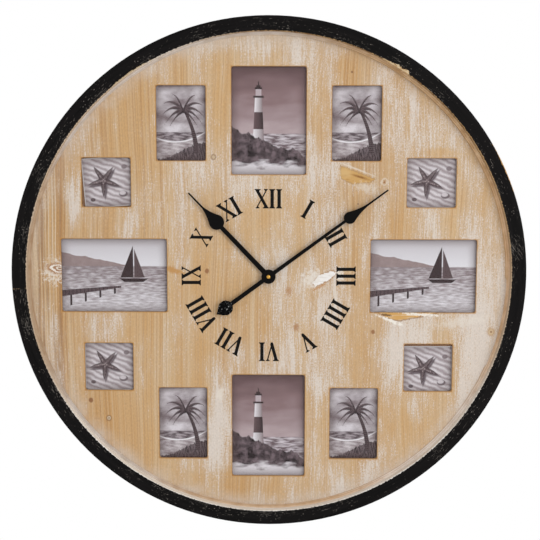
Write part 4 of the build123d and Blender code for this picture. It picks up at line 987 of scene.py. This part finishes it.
def model_screws():
    """Round-head wood screws with cross recesses, one at each button's pivot and two in the hanger plate."""
    head_radius, head_height, head_round = 2.9 * MM, 1.8 * MM, 1.1 * MM
    shank_radius, shank, point = 1.5 * MM, 6 * MM, 2 * MM
    recess = (3.2 * MM, 0.75 * MM, 1.6 * MM)
    button_root, hanger_half_spacing = 5.5 * MM, 18 * MM
    # Each screw stops at another turn.
    turn_between = 37
    bpy.ops.mesh.primitive_cylinder_add(vertices=32, radius=head_radius, depth=head_height,
                                        location=(0, 0, head_height / 2))
    screw = start_piece("screw")
    choose(screw, "FACE", lambda middle, normal: normal.z < -0.9)
    bpy.ops.mesh.inset(thickness=head_radius - shank_radius)
    extrude(-shank)
    extrude(-point)
    bpy.ops.transform.resize(value=(0.25, 0.25, 1))
    choose(screw, "FACE", lambda middle, normal: normal.z > 0.9)
    bpy.ops.mesh.bevel(offset=head_round, segments=5, affect="EDGES")
    bpy.ops.object.mode_set(mode="OBJECT")
    for turn in (0, 90):
        bpy.ops.mesh.primitive_cube_add(size=1, scale=recess, location=(0, 0, head_height))
        cutter = start_piece("recess")
        choose(cutter, "FACE", lambda middle, normal: normal.z < -0.9)
        bpy.ops.transform.resize(value=(0.45, 0.7, 1))
        bpy.ops.object.mode_set(mode="OBJECT")
        cutter.data.transform(Matrix.Rotation(radians(turn), 4, "Z"))
        combine(screw, cutter, "DIFFERENCE")
    # The head looks backwards, to the wall.
    screw.data.transform(Matrix.Rotation(radians(-90), 4, "X"))

    seats = []
    for name in sorted(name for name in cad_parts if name.startswith("turn_button")):
        low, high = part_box(name)
        middle = (low + high) / 2
        pivot = {"top": (middle.x, high.z - button_root), "bottom": (middle.x, low.z + button_root),
                 "left": (low.x + button_root, middle.z), "right": (high.x - button_root, middle.z)}
        x, z = pivot[name.rsplit("_", 1)[1]]
        seats.append((x, high.y, z))
    low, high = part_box("keyhole_plate")
    for side in (-1, 1):
        seats.append((side * hanger_half_spacing, high.y, (low.z + high.z) / 2))
    copies = []
    for number, seat in enumerate(seats):
        turn = Matrix.Rotation(radians(turn_between * number), 4, "Y")
        copies.append(copy_to(screw, Matrix.Translation(seat) @ turn))
    bpy.data.objects.remove(screw)
    screws = join("dressed_screws", copies)
    bpy.ops.object.shade_smooth_by_angle(angle=radians(35))
    return screws


def model_bead():
    """Bead in the corner between dial and rim: a worn quarter round, uneven and narrowest at the left."""
    width, height, seated = 5 * MM, 3.4 * MM, 0.5 * MM
    left_shift = 2.6 * MM
    steps = 360
    outer, seat = RIM_INNER_RADIUS * MM + seated, -DIAL_STAND * MM + seated
    middle_x, middle_y = outer - width / 2, seat - height / 2
    bpy.ops.mesh.primitive_plane_add(size=1, location=(middle_x, middle_y, 0))
    bead = start_piece("bead")
    bpy.ops.mesh.select_all(action="SELECT")
    bpy.ops.transform.resize(value=(width, height, 1), center_override=(middle_x, middle_y, 0))
    # The corner that shows is rounded off.
    choose(bead, "VERT", lambda place, normal: place.x < middle_x and place.y < middle_y)
    bpy.ops.mesh.bevel(offset=height * 0.93, segments=5, affect="VERTICES", profile=0.45)
    reaches = sorted({round(vertex.co.x, 6) for vertex in bead.data.vertices})
    # Only the outline is spun, so that no section is left inside.
    bpy.ops.mesh.select_all(action="SELECT")
    bpy.ops.mesh.delete(type="ONLY_FACE")
    bpy.ops.mesh.select_all(action="SELECT")
    bpy.ops.mesh.spin(steps=steps, angle=2 * pi, center=(0, 0, 0), axis=(0, 1, 0))
    bpy.ops.mesh.select_all(action="SELECT")
    bpy.ops.mesh.remove_doubles(threshold=0.01 * MM)
    bpy.ops.mesh.normals_make_consistent(inside=False)
    # Each ring shifts to the left with its distance from the rim, the innermost by the whole shift.
    near = 0.002 * MM
    for reach in reaches:
        choose(bead, "VERT", lambda place, normal: abs(place.xz.length - reach) < near)
        bpy.ops.transform.translate(value=(-left_shift * (outer - reach) / width, 0, 0))
    bpy.ops.object.mode_set(mode="OBJECT")
    roughen(bead, bpy.data.textures.new("brush_drags", "CLOUDS"), 18 * MM, 0.2, 0.8 * MM)
    bpy.ops.object.shade_smooth_by_angle(angle=radians(40))
    return bead


def model_drop():
    """Cast drop on the minute hand's tail, its dome beaten with a round hammer."""
    drop = bpy.data.objects.new("hammered_drop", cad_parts["counterweight"].data.copy())
    bpy.context.scene.collection.objects.link(drop)
    pick(drop)
    drop.data.materials.clear()
    bpy.ops.object.mode_set(mode="EDIT")
    bpy.ops.mesh.select_all(action="SELECT")
    bpy.ops.mesh.remove_doubles(threshold=0.001 * MM)
    bpy.ops.object.mode_set(mode="OBJECT")
    fine = drop.modifiers.new("fine", "REMESH")
    fine.mode = "VOXEL"
    fine.voxel_size = 0.4 * MM
    bpy.ops.object.modifier_apply(modifier=fine.name)
    dents = bpy.data.textures.new("hammer_marks", "VORONOI")
    dents.distance_metric = "DISTANCE_SQUARED"
    roughen(drop, dents, 5 * MM, 0.45, 1.1 * MM)
    bpy.ops.object.shade_smooth()
    return drop


# Build
set_up_studio()

numerals = model_numerals()
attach(numerals, "clock_case")
bead = model_bead()
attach(bead, "clock_case")
screws = model_screws()
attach(screws, "clock_case")
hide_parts("wood_screws")
drop = model_drop()
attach(drop, "minute_assembly")
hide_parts("counterweight")

# Dark and pale colour, roughness, width of the pattern in mm, then the shine of a paint or the length of the
# streaks on a metal.
ink = sprayed_paint("screen_printed_black_ink", "#0b0a09", "#161412", 0.62, 1.5, 0.08)
zinc = bare_metal("zinc_plated_steel", "#9a9b98", "#c4c5c0", 0.36, 1.2, 20)
gloss_black = black_casting_with_painted_glints()
slots = {
    "veneer": limewashed_fir(),
    "black_rim": worn_black_rim(),
    "pane": clear_pane(),
    "hardboard": hardboard(),
    "plated_steel": zinc,
    "hanger_wood": raw_pine(),
    "black_metal": sprayed_paint("satin_black_sprayed_steel", "#050404", "#0a0909", 0.36, 1.2, 0.06),
    "black_gloss_metal": gloss_black,
    "brass": bare_metal("turned_brass", "#a97c35", "#d9ad5a", 0.24, 0.8, 4),
    "black_plastic": moulded_plastic("moulded_black_abs", "#161617", "#232325", 0.5, 0.8),
    "knob_plastic": moulded_plastic("moulded_grey_abs", "#4a4a4b", "#5c5c5e", 0.48, 0.8),
    "wheel_plastic": moulded_plastic("moulded_natural_acetal", "#d3d2c8", "#e6e5dc", 0.35, 0.8),
    "cell": wrapped_cell(),
    "circuit": circuit_laminate(),
    "copper_winding": copper_winding(),
    "soft_iron": bare_metal("blanked_soft_iron", "#7b7c7e", "#a2a3a5", 0.42, 0.8, 8),
    "magnet": bare_metal("sintered_magnet", "#3a3a3d", "#55555a", 0.5, 0.6, 0.6),
}
prints = {"upright_prints": lighthouse_print(), "wide_prints": bay_print(), "medium_prints": palm_print(),
          "small_prints": starfish_print()}
for name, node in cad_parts.items():
    for slot in node.material_slots:
        slot.material = prints.get(name) or slots[slot.material.name.split(".")[0]]
numerals.data.materials.append(ink)
bead.data.materials.append(limewashed_bead())
screws.data.materials.append(zinc)
drop.data.materials.append(gloss_black)
